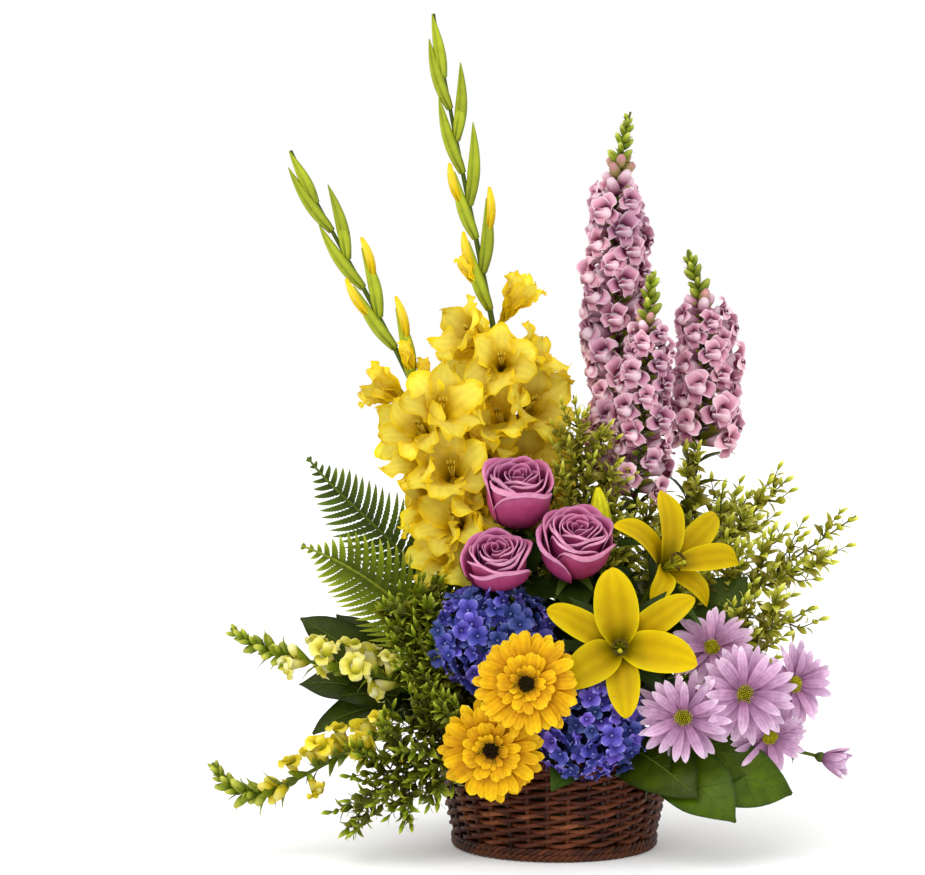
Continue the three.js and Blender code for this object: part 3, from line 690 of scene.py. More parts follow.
def fold_liner():
    """A thin plastic bowl with a floor, a crinkled wall and a rolled lip."""
    skin = Skin(14)
    low, high = box("plastic_liner")
    turn = np.linspace(0, 2 * math.pi, 97)[:-1]
    foot, rim = high[0] - 12, high[0] - 0.6
    crinkle = 0.7 * (np.sin(turn * 19) + 0.6 * np.sin(turn * 31 + 1))
    for inward in (0.0, 1.0):
        grid = [ring_path(turn, 1.0, low[2] + 0.8 + inward * 0.6)]
        for level in np.linspace(0, 1, 14):
            radius = foot + (rim - foot) * level - inward + level * crinkle
            grid.append(ring_path(turn, radius, low[2] + 1 + (high[2] - low[2] - 1.4) * level))
        skin.sheet(np.array(grid), liner_plastic, loop=True, flip=inward > 0)
    lip = ring_path(np.append(turn, turn[0]), rim - 0.2 + np.append(crinkle, crinkle[0]), high[2] - 0.8)
    skin.sheet(rings(lip, 0.9, 6), liner_plastic, loop=True)
    skin.piece("plastic_liner", "liner", "folded")


def finish_foam():
    """The CAD block is already the right shape, with a hole for every stem, so it keeps its mesh."""
    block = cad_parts["floral_foam"]
    block.data.materials.clear()
    block.data.materials.append(wet_foam)


# ---------------- stems

LEAF_HEIGHT = 112  # a stem's leaves start here, about as high as the basket's rim


def grow_stem(name, radii, beyond=0.0, leaves=0, long=66, wide=22):
    """One plain stem along its CAD centre line, with its own leaves where it has them."""
    node = f"{name}_stem"
    skin = Skin(sum(map(ord, node)))
    path = centre_line(node)
    if beyond:
        path = np.vstack([path, path[-1] + heading(path, 1.0) * beyond])
    skin.tube(path, radii, cut_stem, skin.chance(), sides=8)
    low = share_at(path, LEAF_HEIGHT) if path[-1, 2] > LEAF_HEIGHT + 13 else 0.6
    for k in range(leaves):
        share = low + (0.93 - low) * k / (leaves - 1)
        skin.leaf(spot(path, share), k * GOLDEN + 40, long, wide, stem_leaf_painted_shade, rows=11)
    skin.piece(node, "green_stem")


# ---------------- gladioli

SPATHE_LENGTH = 79
SPATHE_WIDTH = 13.2
SHEATH_DEPTH = 17  # how far below its place on the stem a spathe starts
FLORET_SIZE = 68  # along one open tepal, from the stem to its tip
SPATHES = {"left": (7, 433, -1), "centre": (8, 500, 1)}  # how many, the lowest one's height, and its side
YELLOW_SPATHES = 3  # the lowest ones, which show their tepals
OPENING_LENGTH = 48  # of a half-open bud
OPENING_WIDTH = 17
HALF_OPEN = {"left": ((410, 30), (392, 78)), "centre": ((492, -78), (430, -100))}  # height and turn
CUPPED = {"left": (396, -88, 0.3), "centre": (462, 80, 0.22)}  # height, turn and openness
FLORET_TURNS = {"left": (14, -48, 58, -4, 36, -88, 6, -44, 62, -18, 34),
    "centre": (-34, 50, 4, -78, 82, -22, 40, -60, 74, -2, -64)}
OPEN_REACH = {"left": (234, 374), "centre": (282, 440)}  # the heights of the lowest and highest open ones


def gladiolus_floret(skin, base, facing, size, openness):
    """A funnel of six ruffled tepals, three broad ones inside three narrower, with stamens in its
    throat. The top tepal leans forward as a hood and the lowest ones fall open."""
    side = axes(facing)
    skin.spindle(base, base + facing * size * 0.12, 9, (0.4, 0.8, 1.0, 0.95, 0.6), spathe, skin.chance(),
        rows=6)
    shut = np.array([88, 87, 84, 80, 76, 70])
    flat = np.array([84, 76, 58, 36, 12, -10])
    for k in range(6):
        inner = k % 2
        turn = 90 + 60 * k
        drop = 0.5 - 0.5 * math.sin(math.radians(turn))
        spread = openness * (0.82 + 0.3 * drop) * (1 + skin.stray(0.09))
        blade = petal(size * skin.between(0.92, 1.06), size * (0.58 if inner else 0.5),
            (0.16, 0.26, 0.52, 0.88, 1.04, 0.8), shut + (flat - shut) * spread,
            cup=(1.3, 1.0, 0.6, 0.3, 0.05, -0.2), start=1.2 + 0.6 * (1 - inner), ruffle=size * 0.07,
            waves=3.3, phase=skin.chance() * 6.3, twist=skin.stray(0.2), sway=skin.stray(3), blunt=4,
            size=(19, 11))
        frill = np.sin(np.linspace(0, 10, 11) + skin.chance() * 6)[None, :]
        blade[..., 2] += frill * (np.linspace(0, 1, 19)[:, None] ** 5) * size * 0.035
        skin.blade(blade, turn + skin.stray(6), base + facing * 3, side, gladiolus_tepal, skin.chance())
    if openness < 0.5:
        return
    for k in range(3):
        lean = np.array([math.cos(k * 0.5 + 1.1), math.sin(k * 0.5 + 1.1), 0]) @ side * size * 0.09
        tip = base + facing * size * 0.6 + lean
        skin.tube(np.linspace(base + facing * size * 0.3, tip, 4), (0.9, 0.6), gladiolus_tepal, 0.6, sides=5)
        skin.spindle(tip - lean * 0.2, tip + facing * 7 + lean * 0.1, 2.6, (0.5, 1, 1, 0.5),
            gladiolus_tepal, 0.1, sides=5, rows=5)


def half_open(skin, base, direction):
    """A bud just opening: furled yellow tepals coming out of a green sheath."""
    side = axes(direction)
    skin.spindle(base, base + direction * OPENING_LENGTH * 0.55, OPENING_WIDTH * 0.62,
        (0.4, 0.85, 1.0, 0.9, 0.5), spathe, 0.6, rows=7)
    for k in range(5):
        blade = petal(OPENING_LENGTH * 0.76, OPENING_WIDTH * 0.95, (0.3, 0.75, 1.0, 1.05, 0.8),
            (76, 84, 90, 84, 58 + 16 * (k % 2)), cup=(1.5, 1.3, 1.0, 0.5), start=1.5, ruffle=2.6,
            waves=2.6, phase=skin.chance() * 6.3, blunt=4, size=(13, 9))
        skin.blade(blade, k * 72, base + direction * OPENING_LENGTH * 0.26, side, gladiolus_tepal,
            skin.between(0.5, 1))


def gladiolus_buds(skin, path, count, first, first_side):
    """Green spathes up the stem, left and right by turns, the lowest showing yellow tepals."""
    across = unit(np.cross(FRONT, heading(path, 0.8)))
    low = share_at(path, first)
    for k in range(count):
        base, ahead = spot(path, low + (0.94 - low) * (k / (count - 1)) ** 0.94)
        last, yellow = k == count - 1, k < YELLOW_SPATHES
        aside = across * first_side * (-1) ** k
        size = 1 - 0.17 * k / count
        lean = -0.02 if last else 0.24 if first_side * (-1) ** k < 0 else 0.1
        direction = unit(ahead + aside * lean + FRONT * 0.05)
        length = SPATHE_LENGTH * size * skin.between(0.96, 1.04)
        if last:
            length = np.linalg.norm(path[-1] - base) + SHEATH_DEPTH
        width = SPATHE_WIDTH * size
        start = base - ahead * SHEATH_DEPTH + aside * (0 if last else 0.6)
        bend = aside * (0.3 if last else 2.6)
        if yellow:
            lifted = start + aside * 2.2 + FRONT * 1.5
            skin.spindle(lifted + direction * length * 0.42, lifted + direction * length * 0.99,
                width * 0.68, (0.5, 0.85, 1.0, 0.95, 0.74, 0.3), gladiolus_tepal, 0.7, flat=0.85,
                towards=FRONT, bend=bend)
        for part, (reach, wide, out) in enumerate(((0.87 if yellow else 1.0, 1.0, 0.0), (0.66, 0.94, -1.2))):
            skin.spindle(start + aside * out, start + direction * length * reach, width * wide,
                (0.5, 0.84, 1.0, 0.94, 0.74, 0.45, 0.08), spathe, skin.chance(), rows=13, flat=0.8,
                towards=FRONT, bend=bend + FRONT * part * 0.8, sides=10)


def round_stem(path, height, turn):
    """A place on a stem, the way out from it, turned round it from the front, and the way ahead."""
    base, ahead = spot(path, share_at(path, height))
    front = unit(FRONT - ahead * (FRONT @ ahead))
    a = math.radians(turn)
    return base, front * math.cos(a) + np.cross(ahead, front) * math.sin(a), ahead


def grow_gladiolus(name):
    """A stem with its spathes and half-open buds, a cupped floret, the open ones facing every way in
    front, and a row of them behind."""
    node, seed = f"gladiolus_{name}", sum(map(ord, name))
    stem, skin = Skin(seed), Skin(seed + 1)
    path = centre_line(f"{node}_stem", steps=40)
    stem.tube(path, (4.6, 1.4), gladiolus_stem, 0.4, sides=9)
    gladiolus_buds(stem, path, *SPATHES[name])
    for height, turn in HALF_OPEN[name]:
        base, out, ahead = round_stem(path, height, turn)
        half_open(stem, base, unit(out * 0.42 + ahead))
    stem.piece(f"{node}_stem", "green_stem")
    height, turn, openness = CUPPED[name]
    base, out, ahead = round_stem(path, height, turn)
    gladiolus_floret(skin, base, unit(out + ahead * 1.1), FLORET_SIZE * 0.86, openness)
    low, high = OPEN_REACH[name]
    turns = FLORET_TURNS[name]
    for k, height in enumerate(np.linspace(low, high, len(turns))):
        base, out, ahead = round_stem(path, height, turns[k] + skin.stray(6))
        towards = unit(out + ahead * skin.between(0.35, 0.95))
        openness = 0.95 - 0.2 * k / len(turns) - 0.25 * skin.chance()
        gladiolus_floret(skin, base, towards, FLORET_SIZE * skin.between(0.92, 1.1), openness)
    for k, height in enumerate(np.linspace(low + 16, high - 4, 5)):
        base, out, ahead = round_stem(path, height, 180 + (-1) ** k * 38)
        gladiolus_floret(skin, base, unit(out + ahead * 0.35), FLORET_SIZE * 0.9, 0.9)
    skin.piece(f"{node}_florets", "gladiolus_petal")


# ---------------- snapdragons

# Two upper and three lower lobes: the turn, lift, width and length of each.
LOBES = ((54, 70, 0.46, 0.5), (126, 70, 0.46, 0.5), (-90, 24, 0.38, 0.4), (-24, 32, 0.4, 0.4),
    (-156, 32, 0.4, 0.4))
SPIKE_LEAVES = 28  # below the florets of an upright spike
SPIKE_LEAF_HEIGHT = 150  # of the lowest one


def snapdragon_floret(skin, base, out, up, size, finish, tint):
    """A tube, two rounded upper lobes like ears, three lower ones that fold down, and a small swollen
    palate that shuts the mouth between them."""
    side = axes(out, up)
    throat = base + out * size * 0.6
    skin.tube(np.array([base, base + out * size * 0.32, throat]), size * np.array([0.06, 0.13, 0.17]),
        finish, tint * 0.4)
    low = throat - side[1] * size * 0.1 + out * size * 0.05
    skin.spindle(low - side[0] * size * 0.19, low + side[0] * size * 0.19, size * 0.29,
        (0.4, 0.95, 0.95, 0.8, 0.95, 0.95, 0.4), finish, tint, sides=7, rows=8)
    for turn, lift, wide, long in LOBES:
        lift = lift + skin.stray(14)
        blade = petal(size * long * skin.between(0.85, 1.15), size * wide, (0.75, 1.0, 1.16, 1.1),
            (lift + 30, lift + 12, lift - 24, lift - 84, lift - 160), cup=(1.2, 0.9, 0.4, -0.2),
            start=size * 0.1, ruffle=size * 0.02, phase=skin.chance() * 6, blunt=1.5,
            twist=skin.stray(0.2), size=(10, 7))
        skin.blade(blade, turn + skin.stray(9), throat - out * size * 0.1, side, finish, tint)


def grow_snapdragon(name, seed, lip, bud, green, slot, reach, gap, bud_share, pale=0.0, tip_size=16,
        lifted=0.0, first=0.02, longer=0.0, bract=0):
    """A spike: florets in a spiral, smaller upwards, then closed buds, then tight green ones. reach gives
    the florets' sizes up the spike, gap is the stem's length from one to the next, bud_share is where
    the buds start, pale is the least tint of a floret, tip_size is the size of the lowest green bud, and
    lifted turns the florets up. first and longer move the spike's two ends from its CAD ones, and bract
    is the length of the leaf under each floret."""
    path = centre_line(f"{name}_stem", steps=36)
    stem, skin = Skin(seed), Skin(seed + 1)
    stem.tube(path, (3.2, 1.1), cut_stem, 0.5, sides=8)
    spike = nearest(corners(f"{name}_florets"), path, 200)[0]
    low, high = spike.min(), spike.max() + longer
    length = span(path)
    share = low + first
    k = 0
    while share < high:
        rise = (share - low) / (high - low)
        size = spline(reach, rise)
        turn = k * GOLDEN + skin.stray(8)
        base, ahead = spot(path, share)
        out = spoke(turn, axes(ahead, FRONT))
        if rise < bud_share:
            out = unit(out + ahead * (0.2 + 0.3 * rise) + SKY * lifted)
            # pale raises a floret's least tint; on the middle and right lavender spikes this is painted
            # light, brightening florets that face away from the key light.
            snapdragon_floret(skin, base, out, ahead, size * skin.between(0.8, 1.1), lip,
                skin.chance() * (1 - pale) + pale)
            sepal_reach = size * 0.3
        else:
            out = unit(out + ahead * 0.9)
            skin.spindle(base + out, base + out * size * 0.62, size * 0.34, (0.5, 0.9, 1.0, 0.95, 0.6),
                lip if rise < (1 + bud_share) / 2 else bud, skin.between(0.2, 0.9), sides=7, rows=7)
            sepal_reach = size * 0.36
        sepal = petal(sepal_reach, sepal_reach * 0.55, (0.7, 1.0, 0.7, 0.1), (70, 62, 55), cup=(0.6, 0.4),
            start=1.5, size=(4, 3))
        stem.whorl(sepal, (-10, 90, 190), base, axes(out, ahead), snapdragon_green)
        if bract:
            stem.leaf((base - ahead * 2, ahead), turn + 30, bract, bract * 0.34, snapdragon_green,
                lift=(62, 36, 14), rows=6)
        crowding = 0.45 if bract and rise > bud_share else 1.0
        share += gap * crowding * (1 - 0.42 * rise) / length
        k += 1
    share = high
    while share < 0.985:
        rise = (share - high) / (1 - high)
        base, ahead = spot(path, share)
        out = unit(spoke(k * GOLDEN, axes(ahead, FRONT)) + ahead * (0.9 + rise))
        size = tip_size * (1 - 0.5 * rise) * stem.between(0.8, 1.15)
        stem.spindle(base, base + out * size, size * 0.5, (0.5, 0.95, 1.0, 0.85, 0.35), green,
            stem.chance(), sides=6, rows=6)
        stem.leaf((base - ahead * 2, ahead), k * GOLDEN + 20, size * 1.2, size * 0.34, snapdragon_green,
            lift=(60, 40, 20), rows=5)
        share += (3.6 - 1.6 * rise) / length
        k += 1
    foot = share_at(path, SPIKE_LEAF_HEIGHT)
    for k in range(SPIKE_LEAVES if low > foot else 0):
        place = spot(path, foot + (low + first - foot) * k / (SPIKE_LEAVES - 1))
        stem.leaf(place, k * GOLDEN, 44, 15, myrtle_leaf, lift=(50, 26, 0), tint=stem.between(0, 0.5))
    stem.piece(f"{name}_stem", "green_stem")
    skin.piece(f"{name}_florets", slot)


# ---------------- roses

def rose_petal_grid(radius, top, base, half_turn, roll, tuck, dip, point, flare, wobble, phase):
    """One rose petal: part of a cup round the head's axis. roll is how far its lip rolls outwards, tuck
    slides one edge under the next petal, dip lowers its edges, point lifts its middle, flare opens it
    towards the top, and wobble is the size of its unevenness."""
    v = np.linspace(0, 1, 13)[:, None]
    u = np.linspace(-1, 1, 15)[None, :]
    body = np.clip(v / 0.8, 0, 1)
    lip = np.clip((v - 0.8) / 0.2, 0, 1)
    bowl = np.clip(body / 0.5, 0, 1) * math.pi / 2
    full = 0.14 + 0.86 * np.sin(bowl) ** 0.9
    corner = np.clip((np.abs(u) - 0.6) / 0.4, 0, 1) ** 2
    edge = 1 - dip * np.abs(u) ** 2.4 + point * np.exp(-(u / 0.22) ** 2) - 0.3 * corner
    bent = roll * (1 - u ** 2)
    r = radius * (full * (1 + tuck * u) + flare * body ** 3) * (1 - 0.05 * corner)
    r = r + bent * np.sin(lip * 2.4) + wobble * body ** 2 * np.sin(u * 5 + phase)
    z = base + (top - base) * (0.24 * (1 - np.cos(bowl)) + 0.76 * np.clip((body - 0.12) / 0.88, 0, 1) * edge)
    z = z - bent * (1 - np.cos(lip * 2.4)) * 0.7 + bent * 0.6 * np.sin(lip * math.pi)
    z = z + wobble * body * np.cos(u * 4 + phase)
    angle = half_turn * u * (1 - 0.1 * v)
    return np.stack(np.broadcast_arrays(r * np.cos(angle), r * np.sin(angle), z), -1)


def grow_rose(name, seed, petals, width, openness, tall):
    """Petals in a spiral from the shut heart outwards, over a green hip. openness is how far the outer
    ones drop and flare, and tall is the head's height as a share of its width."""
    grow_stem(name, (3.4, 3.0), beyond=4, leaves=22, wide=40)
    end, centre = stem_end(name)
    facing = unit(unit(centre - end) + SKY * 0.3)
    skin = Skin(seed)
    side = axes(facing)
    radius = width / 2
    height = width * tall
    for k in range(petals):
        share = k / (petals - 1)
        top = height * 0.5 - height * (0.08 * (1 - share) + 0.34 * openness * share ** 2.4)
        roll = radius * (0.012 + 0.1 * share ** 1.2) * skin.between(0.7, 1.3)
        grid = rose_petal_grid(radius * (0.08 + 0.76 * share ** 0.8), top, height * -0.45,
            math.radians(100 - 24 * share), roll, tuck=0.13 if share < 0.5 else 0.07,
            dip=0.12 + 0.2 * share, point=0.06 * share, flare=(0.04 + 0.1 * openness) * share ** 2,
            wobble=radius * (0.02 + 0.045 * share), phase=skin.chance() * 6.3)
        grid = around(grid, k * GOLDEN * 0.97 + skin.stray(8))
        grid[..., 0] += skin.stray(0.5)
        skin.blade(grid, 0, centre, side, rose_back if share > 0.84 else rose_petal, skin.between(0.2, 0.9))
    centre = centre + skin.seat(centre - SKY * 5)
    sepal = petal(radius * 0.95, radius * 0.34, (0.7, 0.9, 0.6, 0.3, 0.05), (10, -10, -30, -40),
        cup=(0.3, 0.3), start=3, rise=2 - height * 0.5, size=(8, 3))
    skin.whorl(sepal, range(20, 380, 72), centre, side, cut_stem)
    skin.spindle(end - facing * 2, centre + facing * (8 - height * 0.5), 13, (0.6, 0.95, 1.0, 0.8), cut_stem,
        0.6)
    skin.piece(f"{name}_bloom", "rose_petal")


# ---------------- lilies

TIP_SAG = 9  # how far a level tepal's tip droops


def grow_lily(name, seed, tepals, facing, stamen, neck=0.0):
    """Three broad tepals over three narrow, six stamens and a pistil. tepals gives each one's turn, its
    length, how far it curls back and its width, broad ones first, stamen is how far the anthers stand
    out, and neck is the length of the stalk between the stem and the throat."""
    grow_stem(name, (3.4, 2.8), beyond=3, leaves=22)
    end = stem_end(name)[0]
    facing = unit(facing)
    skin = Skin(seed)
    side = axes(facing)
    throat = end + facing * (1 + neck * 0.35) + SKY * neck
    if neck:
        skin.tube(np.linspace(end - SKY * 2, throat + facing, 5), 2.9, cut_stem)
    for k, (turn, length, curl, width) in enumerate(tepals):
        blade = petal(length, width, (0.3, 0.58, 0.9, 1.0, 0.99, 0.9, 0.68),
            (62, 44, 28, 18 - curl * 0.3, 6 - curl, -14 - curl * 1.5),
            cup=(1.25, 0.85, 0.6, 0.42, 0.26, 0.0), start=1.5, ruffle=width * 0.05, waves=1.5,
            phase=skin.chance() * 6.3, twist=skin.stray(0.14), sway=skin.stray(3.0), blunt=5,
            size=(22, 11))
        blade[..., 2] += 1.4 if k < 3 else -5.0
        sag = TIP_SAG * abs(math.cos(math.radians(turn))) * np.linspace(0, 1, 22)[:, None, None] ** 3
        skin.blade(blade, turn, throat - SKY * sag, side, lily_tepal, skin.chance())
        way = spoke(turn + 25, side)
        keys = np.array([throat, throat + facing * stamen * 0.5 + way * stamen * 0.1,
            throat + facing * stamen + way * stamen * 0.3])
        skin.tube(curve(keys, 7), (1.0, 0.6), filament, sides=5)
        cross = unit(np.cross(way, facing)) * 3.4
        skin.spindle(keys[-1] - cross, keys[-1] + cross + facing, 2.8, (0.5, 1, 1, 1, 0.5), anther,
            skin.chance(), sides=6, rows=6)
    tip = throat + facing * stamen * 1.25 - side[1] * 3
    skin.tube(np.linspace(throat, tip, 6), (1.7, 1.3), filament, 0.4, sides=6)
    skin.spindle(tip - facing, tip + facing * 3, 4.6, (0.6, 1, 0.9, 0.4), filament, 0.2, sides=6, rows=5)
    skin.piece(f"{name}_bloom", "lily_petal")


def grow_lily_bud():
    """A closed bud: six ribbed tepals shut edge to edge, on its own stem."""
    path = centre_line("lily_bud")
    path = path + np.array([5, -18, 0]) * np.linspace(0, 1, len(path))[:, None] ** 2
    base, tip = along(path, 1 - np.array([62, 3]) / span(path))
    skin = Skin(41)
    below = np.linalg.norm(path - HEART, axis=1) < np.linalg.norm(base - HEART) + 3
    skin.tube(path[below], 2.4, cut_stem, sides=8)
    for k in range(10):
        skin.leaf(spot(path, 0.4 + 0.04 * k), k * GOLDEN, 50, 22, stem_leaf_painted_shade, rows=11)
    side = axes(tip - base)
    length = np.linalg.norm(tip - base)
    for k in range(6):
        blade = petal(length * 1.02, 20 if k % 2 else 16, (0.35, 0.8, 1.0, 0.95, 0.7, 0.1),
            (62, 78, 90, 97, 107, 119), cup=(1.0, 1.0, 1.0, 0.9, 0.7), start=4.4, size=(14, 7))
        blade[..., 0] = np.abs(blade[..., 0])
        skin.blade(blade, 60 * k, base, side, lily_bud_skin, skin.chance())
    skin.spindle(base - unit(tip - base) * 2, base + (tip - base) * 0.9, 15, (0.5, 0.9, 1, 0.9, 0.4),
        lily_bud_skin, 0.3)
    skin.piece("lily_bud", "lily_petal")


# ---------------- gerberas and daisies

GERBERA_RADIUS = 47
# The rings of rays, outermost first: how many, their reach and width, their lift, and how high they start.
# All daisy rays are equally wide.
GERBERA_RAYS = ((25, 1.0, 0.225, (6, 10, 4, -8), -3.0), (24, 0.95, 0.225, (14, 16, 8, -4), -1.2),
    (19, 0.6, 0.19, (34, 30, 18, 8), 0.6), (18, 0.4, 0.11, (52, 44, 30, 16), 2.0))
DAISY_RAYS = ((20, 1.0, (6, 8, 0, -14), -2.0), (18, 0.95, (20, 18, 8, -6), 0.0))
# The blooms of the one daisy stem: name, seed and width.
DAISIES = (("daisy_back", 61, 84), ("daisy_front", 62, 94), ("daisy_left", 63, 89), ("daisy_right", 64, 82),
    ("daisy_low", 65, 76))


def disc_florets(skin, centre, side, inner, outer, count, height, finish, lean=0.0):
    """A dome of tiny florets packed in a spiral."""
    for k in range(count):
        share = math.sqrt((k + 0.5) / count)
        root = spoke(k * GOLDEN) * (inner + (outer - inner) * share)
        tip = root * (1 + lean * share) + SKY * height * (1 - 0.5 * share ** 2)
        tip = tip * skin.between(0.94, 1.06)
        skin.spindle(centre + root @ side, centre + tip @ side, 1.5, (0.8, 1.0, 0.9, 0.3), finish,
            skin.chance(), sides=5, rows=4)


def grow_gerbera(name, seed):
    grow_stem(name, (3.6, 3.2), beyond=2)
    end, centre = stem_end(name)
    facing = flat_facing(f"{name}_bloom", end)
    skin = Skin(seed)
    side = axes(facing)
    for count, reach, wide, lift, rise in GERBERA_RAYS:
        for k in range(count):
            length = GERBERA_RADIUS * reach * skin.between(0.9, 1.04) - 6
            blade = petal(length, GERBERA_RADIUS * wide * skin.between(0.88, 1.12),
                (0.45, 0.72, 0.92, 1.0, 1.06, 1.04), lift, cup=(0.6, 0.4, 0.3, 0.25), start=6, rise=rise,
                twist=skin.stray(0.22), sway=skin.stray(2.0), blunt=9, size=(10, 5))
            blade[..., 2] += skin.stray(0.7)
            turn = 360 * (k + skin.stray(0.17)) / count + reach * 50
            skin.blade(blade, turn, centre, side, gerbera_ray, skin.chance())
    disc_florets(skin, centre + facing * 2, side, 7, 12.5, 90, 7, gerbera_disc, 0.1)
    disc_florets(skin, centre + facing * 2, side, 0, 7.5, 70, 5, gerbera_eye)
    skin.spindle(end - facing, centre + facing * 2, 24, (0.4, 0.7, 0.95, 1.0), cut_stem, 0.6, sides=12)
    bract = petal(17, 5, (0.9, 0.9, 0.6, 0.1), (-20, 5, 15), start=9, rise=-5, size=(4, 3))
    skin.whorl(bract, np.arange(22) * 360 / 22, centre, side, cut_stem)
    skin.piece(f"{name}_bloom", "gerbera_petal")


def daisy_seat(name):
    """Where a daisy's stalk ends, and the bloom's facing."""
    end = end_near("daisy_stem", middle(name), 3)
    return end, flat_facing(name, end)


def bud_seat():
    """Where the daisy bud sits on its stalk, the way it points, and its length."""
    base = end_near("daisy_bud", HEART, 3)
    points = corners("daisy_bud")
    gaps = np.linalg.norm(points - HEART, axis=1)
    tip = points[gaps > gaps.max() - 5].mean(0)
    length = np.linalg.norm(tip - base)
    return base, unit(tip - base - SKY * length * 0.3), length


def grow_daisy(name, seed, width):
    end, facing = daisy_seat(name)
    centre = middle(name)
    radius = width / 2
    skin = Skin(seed)
    side = axes(facing)
    for count, reach, lift, rise in DAISY_RAYS:
        for k in range(count):
            if skin.chance() < 0.06:
                continue
            length = radius * reach * skin.between(0.86, 1.03) - 3
            bend = skin.stray(11)
            blade = petal(length, radius * 0.21 * skin.between(0.85, 1.15), (0.4, 0.7, 0.92, 1.0, 0.95, 0.7),
                [angle + bend for angle in lift], cup=(0.6, 0.35, 0.2, 0.45), start=3, rise=rise,
                twist=skin.stray(0.22), sway=skin.stray(1.8), blunt=7, size=(9, 5))
            turn = 360 * (k + skin.stray(0.16)) / count + reach * 40
            skin.blade(blade, turn, centre, side, daisy_ray, skin.chance())
    disc_florets(skin, centre + facing * 0.5, side, 0, radius * 0.19, 90, 4.5, daisy_eye)
    skin.spindle(end - facing, centre, radius * 0.34, (0.25, 0.6, 0.95, 0.9), cut_stem, 0.6, sides=9)
    skin.piece(name, "daisy_petal")


def grow_daisy_bud():
    base, direction, length = bud_seat()
    skin = Skin(57)
    side = axes(direction)
    for k in range(40):
        lift = np.array([40, 58, 68, 62]) + 12 * (k % 2) + skin.stray(6)
        blade = petal(length * skin.between(0.82, 1.06), 6.4, (0.5, 0.8, 1.0, 0.95, 0.75), lift,
            cup=(0.7, 0.5, 0.3), start=3.0, twist=skin.stray(0.2), blunt=6, size=(8, 5))
        skin.blade(blade, k * GOLDEN, base + direction * 5, side, daisy_ray, skin.between(0, 0.7))
    skin.spindle(base - direction, base + direction * length * 0.3, 9.5, (0.4, 0.8, 1.0, 0.95, 0.8),
        cut_stem, 0.3, sides=9)
    skin.piece("daisy_bud", "daisy_petal")


def grow_daisy_stem():
    """One stalk that forks to its five heads and its bud."""
    co = corners("daisy_stem")
    gaps = np.linalg.norm(co - HEART, axis=1)
    fork = co[(gaps > 108) & (gaps < 135)].mean(0)  # where the CAD branches part
    foot = HEART + stem_aim("daisy_stem") * FOOT_REACH
    skin = Skin(58)
    skin.tube(curve([foot, (foot + fork) / 2, fork], 9), (3.0, 2.6), cut_stem, sides=8)
    bud_end, bud_facing = bud_seat()[:2]
    seats = [daisy_seat(name) for name, *_ in DAISIES] + [(bud_end + bud_facing * 2, bud_facing)]
    for end, facing in seats:
        knee = end - facing * 14
        line = curve([fork, (fork + knee) / 2 + SKY * 3, knee, end], 13)
        skin.tube(line, (2.0, 1.5), cut_stem, skin.chance())
        for k in range(2):
            skin.leaf((line[4 + 3 * k], line[5] - line[4]), k * 160 + 40, 26, 11, salal_leaf)
    skin.piece("daisy_stem", "green_stem")


# ---------------- hydrangeas

def grow_hydrangea(name, seed, florets):
    """A mop of four-sepalled florets over a core of their stalks, coloured near-black as painted shade."""
    grow_stem(name, (4.0, 3.6), leaves=9, long=80, wide=52)
    low, high = box(f"{name}_bloom")
    half = (high - low) / 2
    end, centre = stem_end(name)
    skin = Skin(seed)
    for k in range(florets):
        z = 1 - 2 * (k + 0.5) / florets
        way = spoke(k * GOLDEN) * math.sqrt(1 - z * z) + SKY * z
        if way @ unit(centre - end) < -0.72:
            continue
        seat = centre + way * (half - 3 + skin.between(-9, 1.5))
        facing = unit(way + skin.stray(0.54, 3))
        tint, size = skin.chance(), skin.between(8.0, 12.5)
        turn, fold = skin.chance() * 90, skin.between(-14, 40)
        for sepal in range(4):
            blade = petal(size, size, (0.3, 0.85, 1.05, 1.0), (34 + fold, 14 + fold, -4 + fold, -26 + fold),
                cup=(0.6, 0.3, -0.2), start=0.6, ruffle=1.5, waves=1.7, phase=skin.chance() * 6,
                twist=skin.stray(0.2), blunt=3, size=(7, 5))
            skin.blade(blade, turn + sepal * 90 + skin.stray(6), seat, level_axes(facing),
                hydrangea_sepal_painted_highlight, tint)
        skin.spindle(seat, seat + facing * 2.6, 2.6, (0.8, 1, 0.5), hydrangea_eye, tint, sides=5, rows=4)
        skin.tube(np.array([centre + way * half * 0.45, seat]), 0.9, hydrangea_painted_shade, tint, sides=4)
    # A lumpy near-black ball inside the florets: painted shade filling the mop's middle.
    down = np.linspace(0, math.pi, 14)[:, None]
    turn = np.linspace(0, 2 * math.pi, 24, endpoint=False)[None, :]
    lumps = 1 + 0.08 * np.sin(turn * 7 + down * 5) * np.sin(down * 6)
    core = np.stack([np.sin(down) * np.cos(turn) * lumps, np.sin(down) * np.sin(turn) * lumps,
        np.cos(down) * lumps], -1)
    skin.sheet(centre + core * (half - 15), hydrangea_painted_shade, loop=True)
    skin.piece(f"{name}_bloom", "hydrangea_petal")


# ---------------- greens

FROND_START = 0.36  # the share of a frond's length where its pinnae begin
FROND_BLADE = 130  # beyond this from the heart, a frond's mesh is its blade and not its stem
LEAF_TIP_ANGLE = 331  # degrees: where a mesh's faces close up to less than this, it has a leaf's tip
LEAF_TIP_GAP = 34  # between the tips of two leaves
BARE_REACH = 99  # a salal stem is straight up to here
CLEAR_OF_STEM = 15  # a leaf's tip is further than this from the line of its spray's stem
CLEAR_OF_FOAM = 70  # and further than this from the heart


def frond_reach(node, path, outward, shares):
    """How far a CAD frond reaches from its rachis towards outward, at these shares of its length."""
    a, b = edge_ends(node)
    step = np.linspace(0, 1, 9)[:, None, None]
    points = (a * (1 - step) + b * step).reshape(-1, 3)
    place, rachis = nearest(points, path, 160)
    aside = ((points - rachis) * outward).sum(1)
    return np.array([aside[np.abs(place - share) < 0.045].max(initial=1.0) for share in shares])


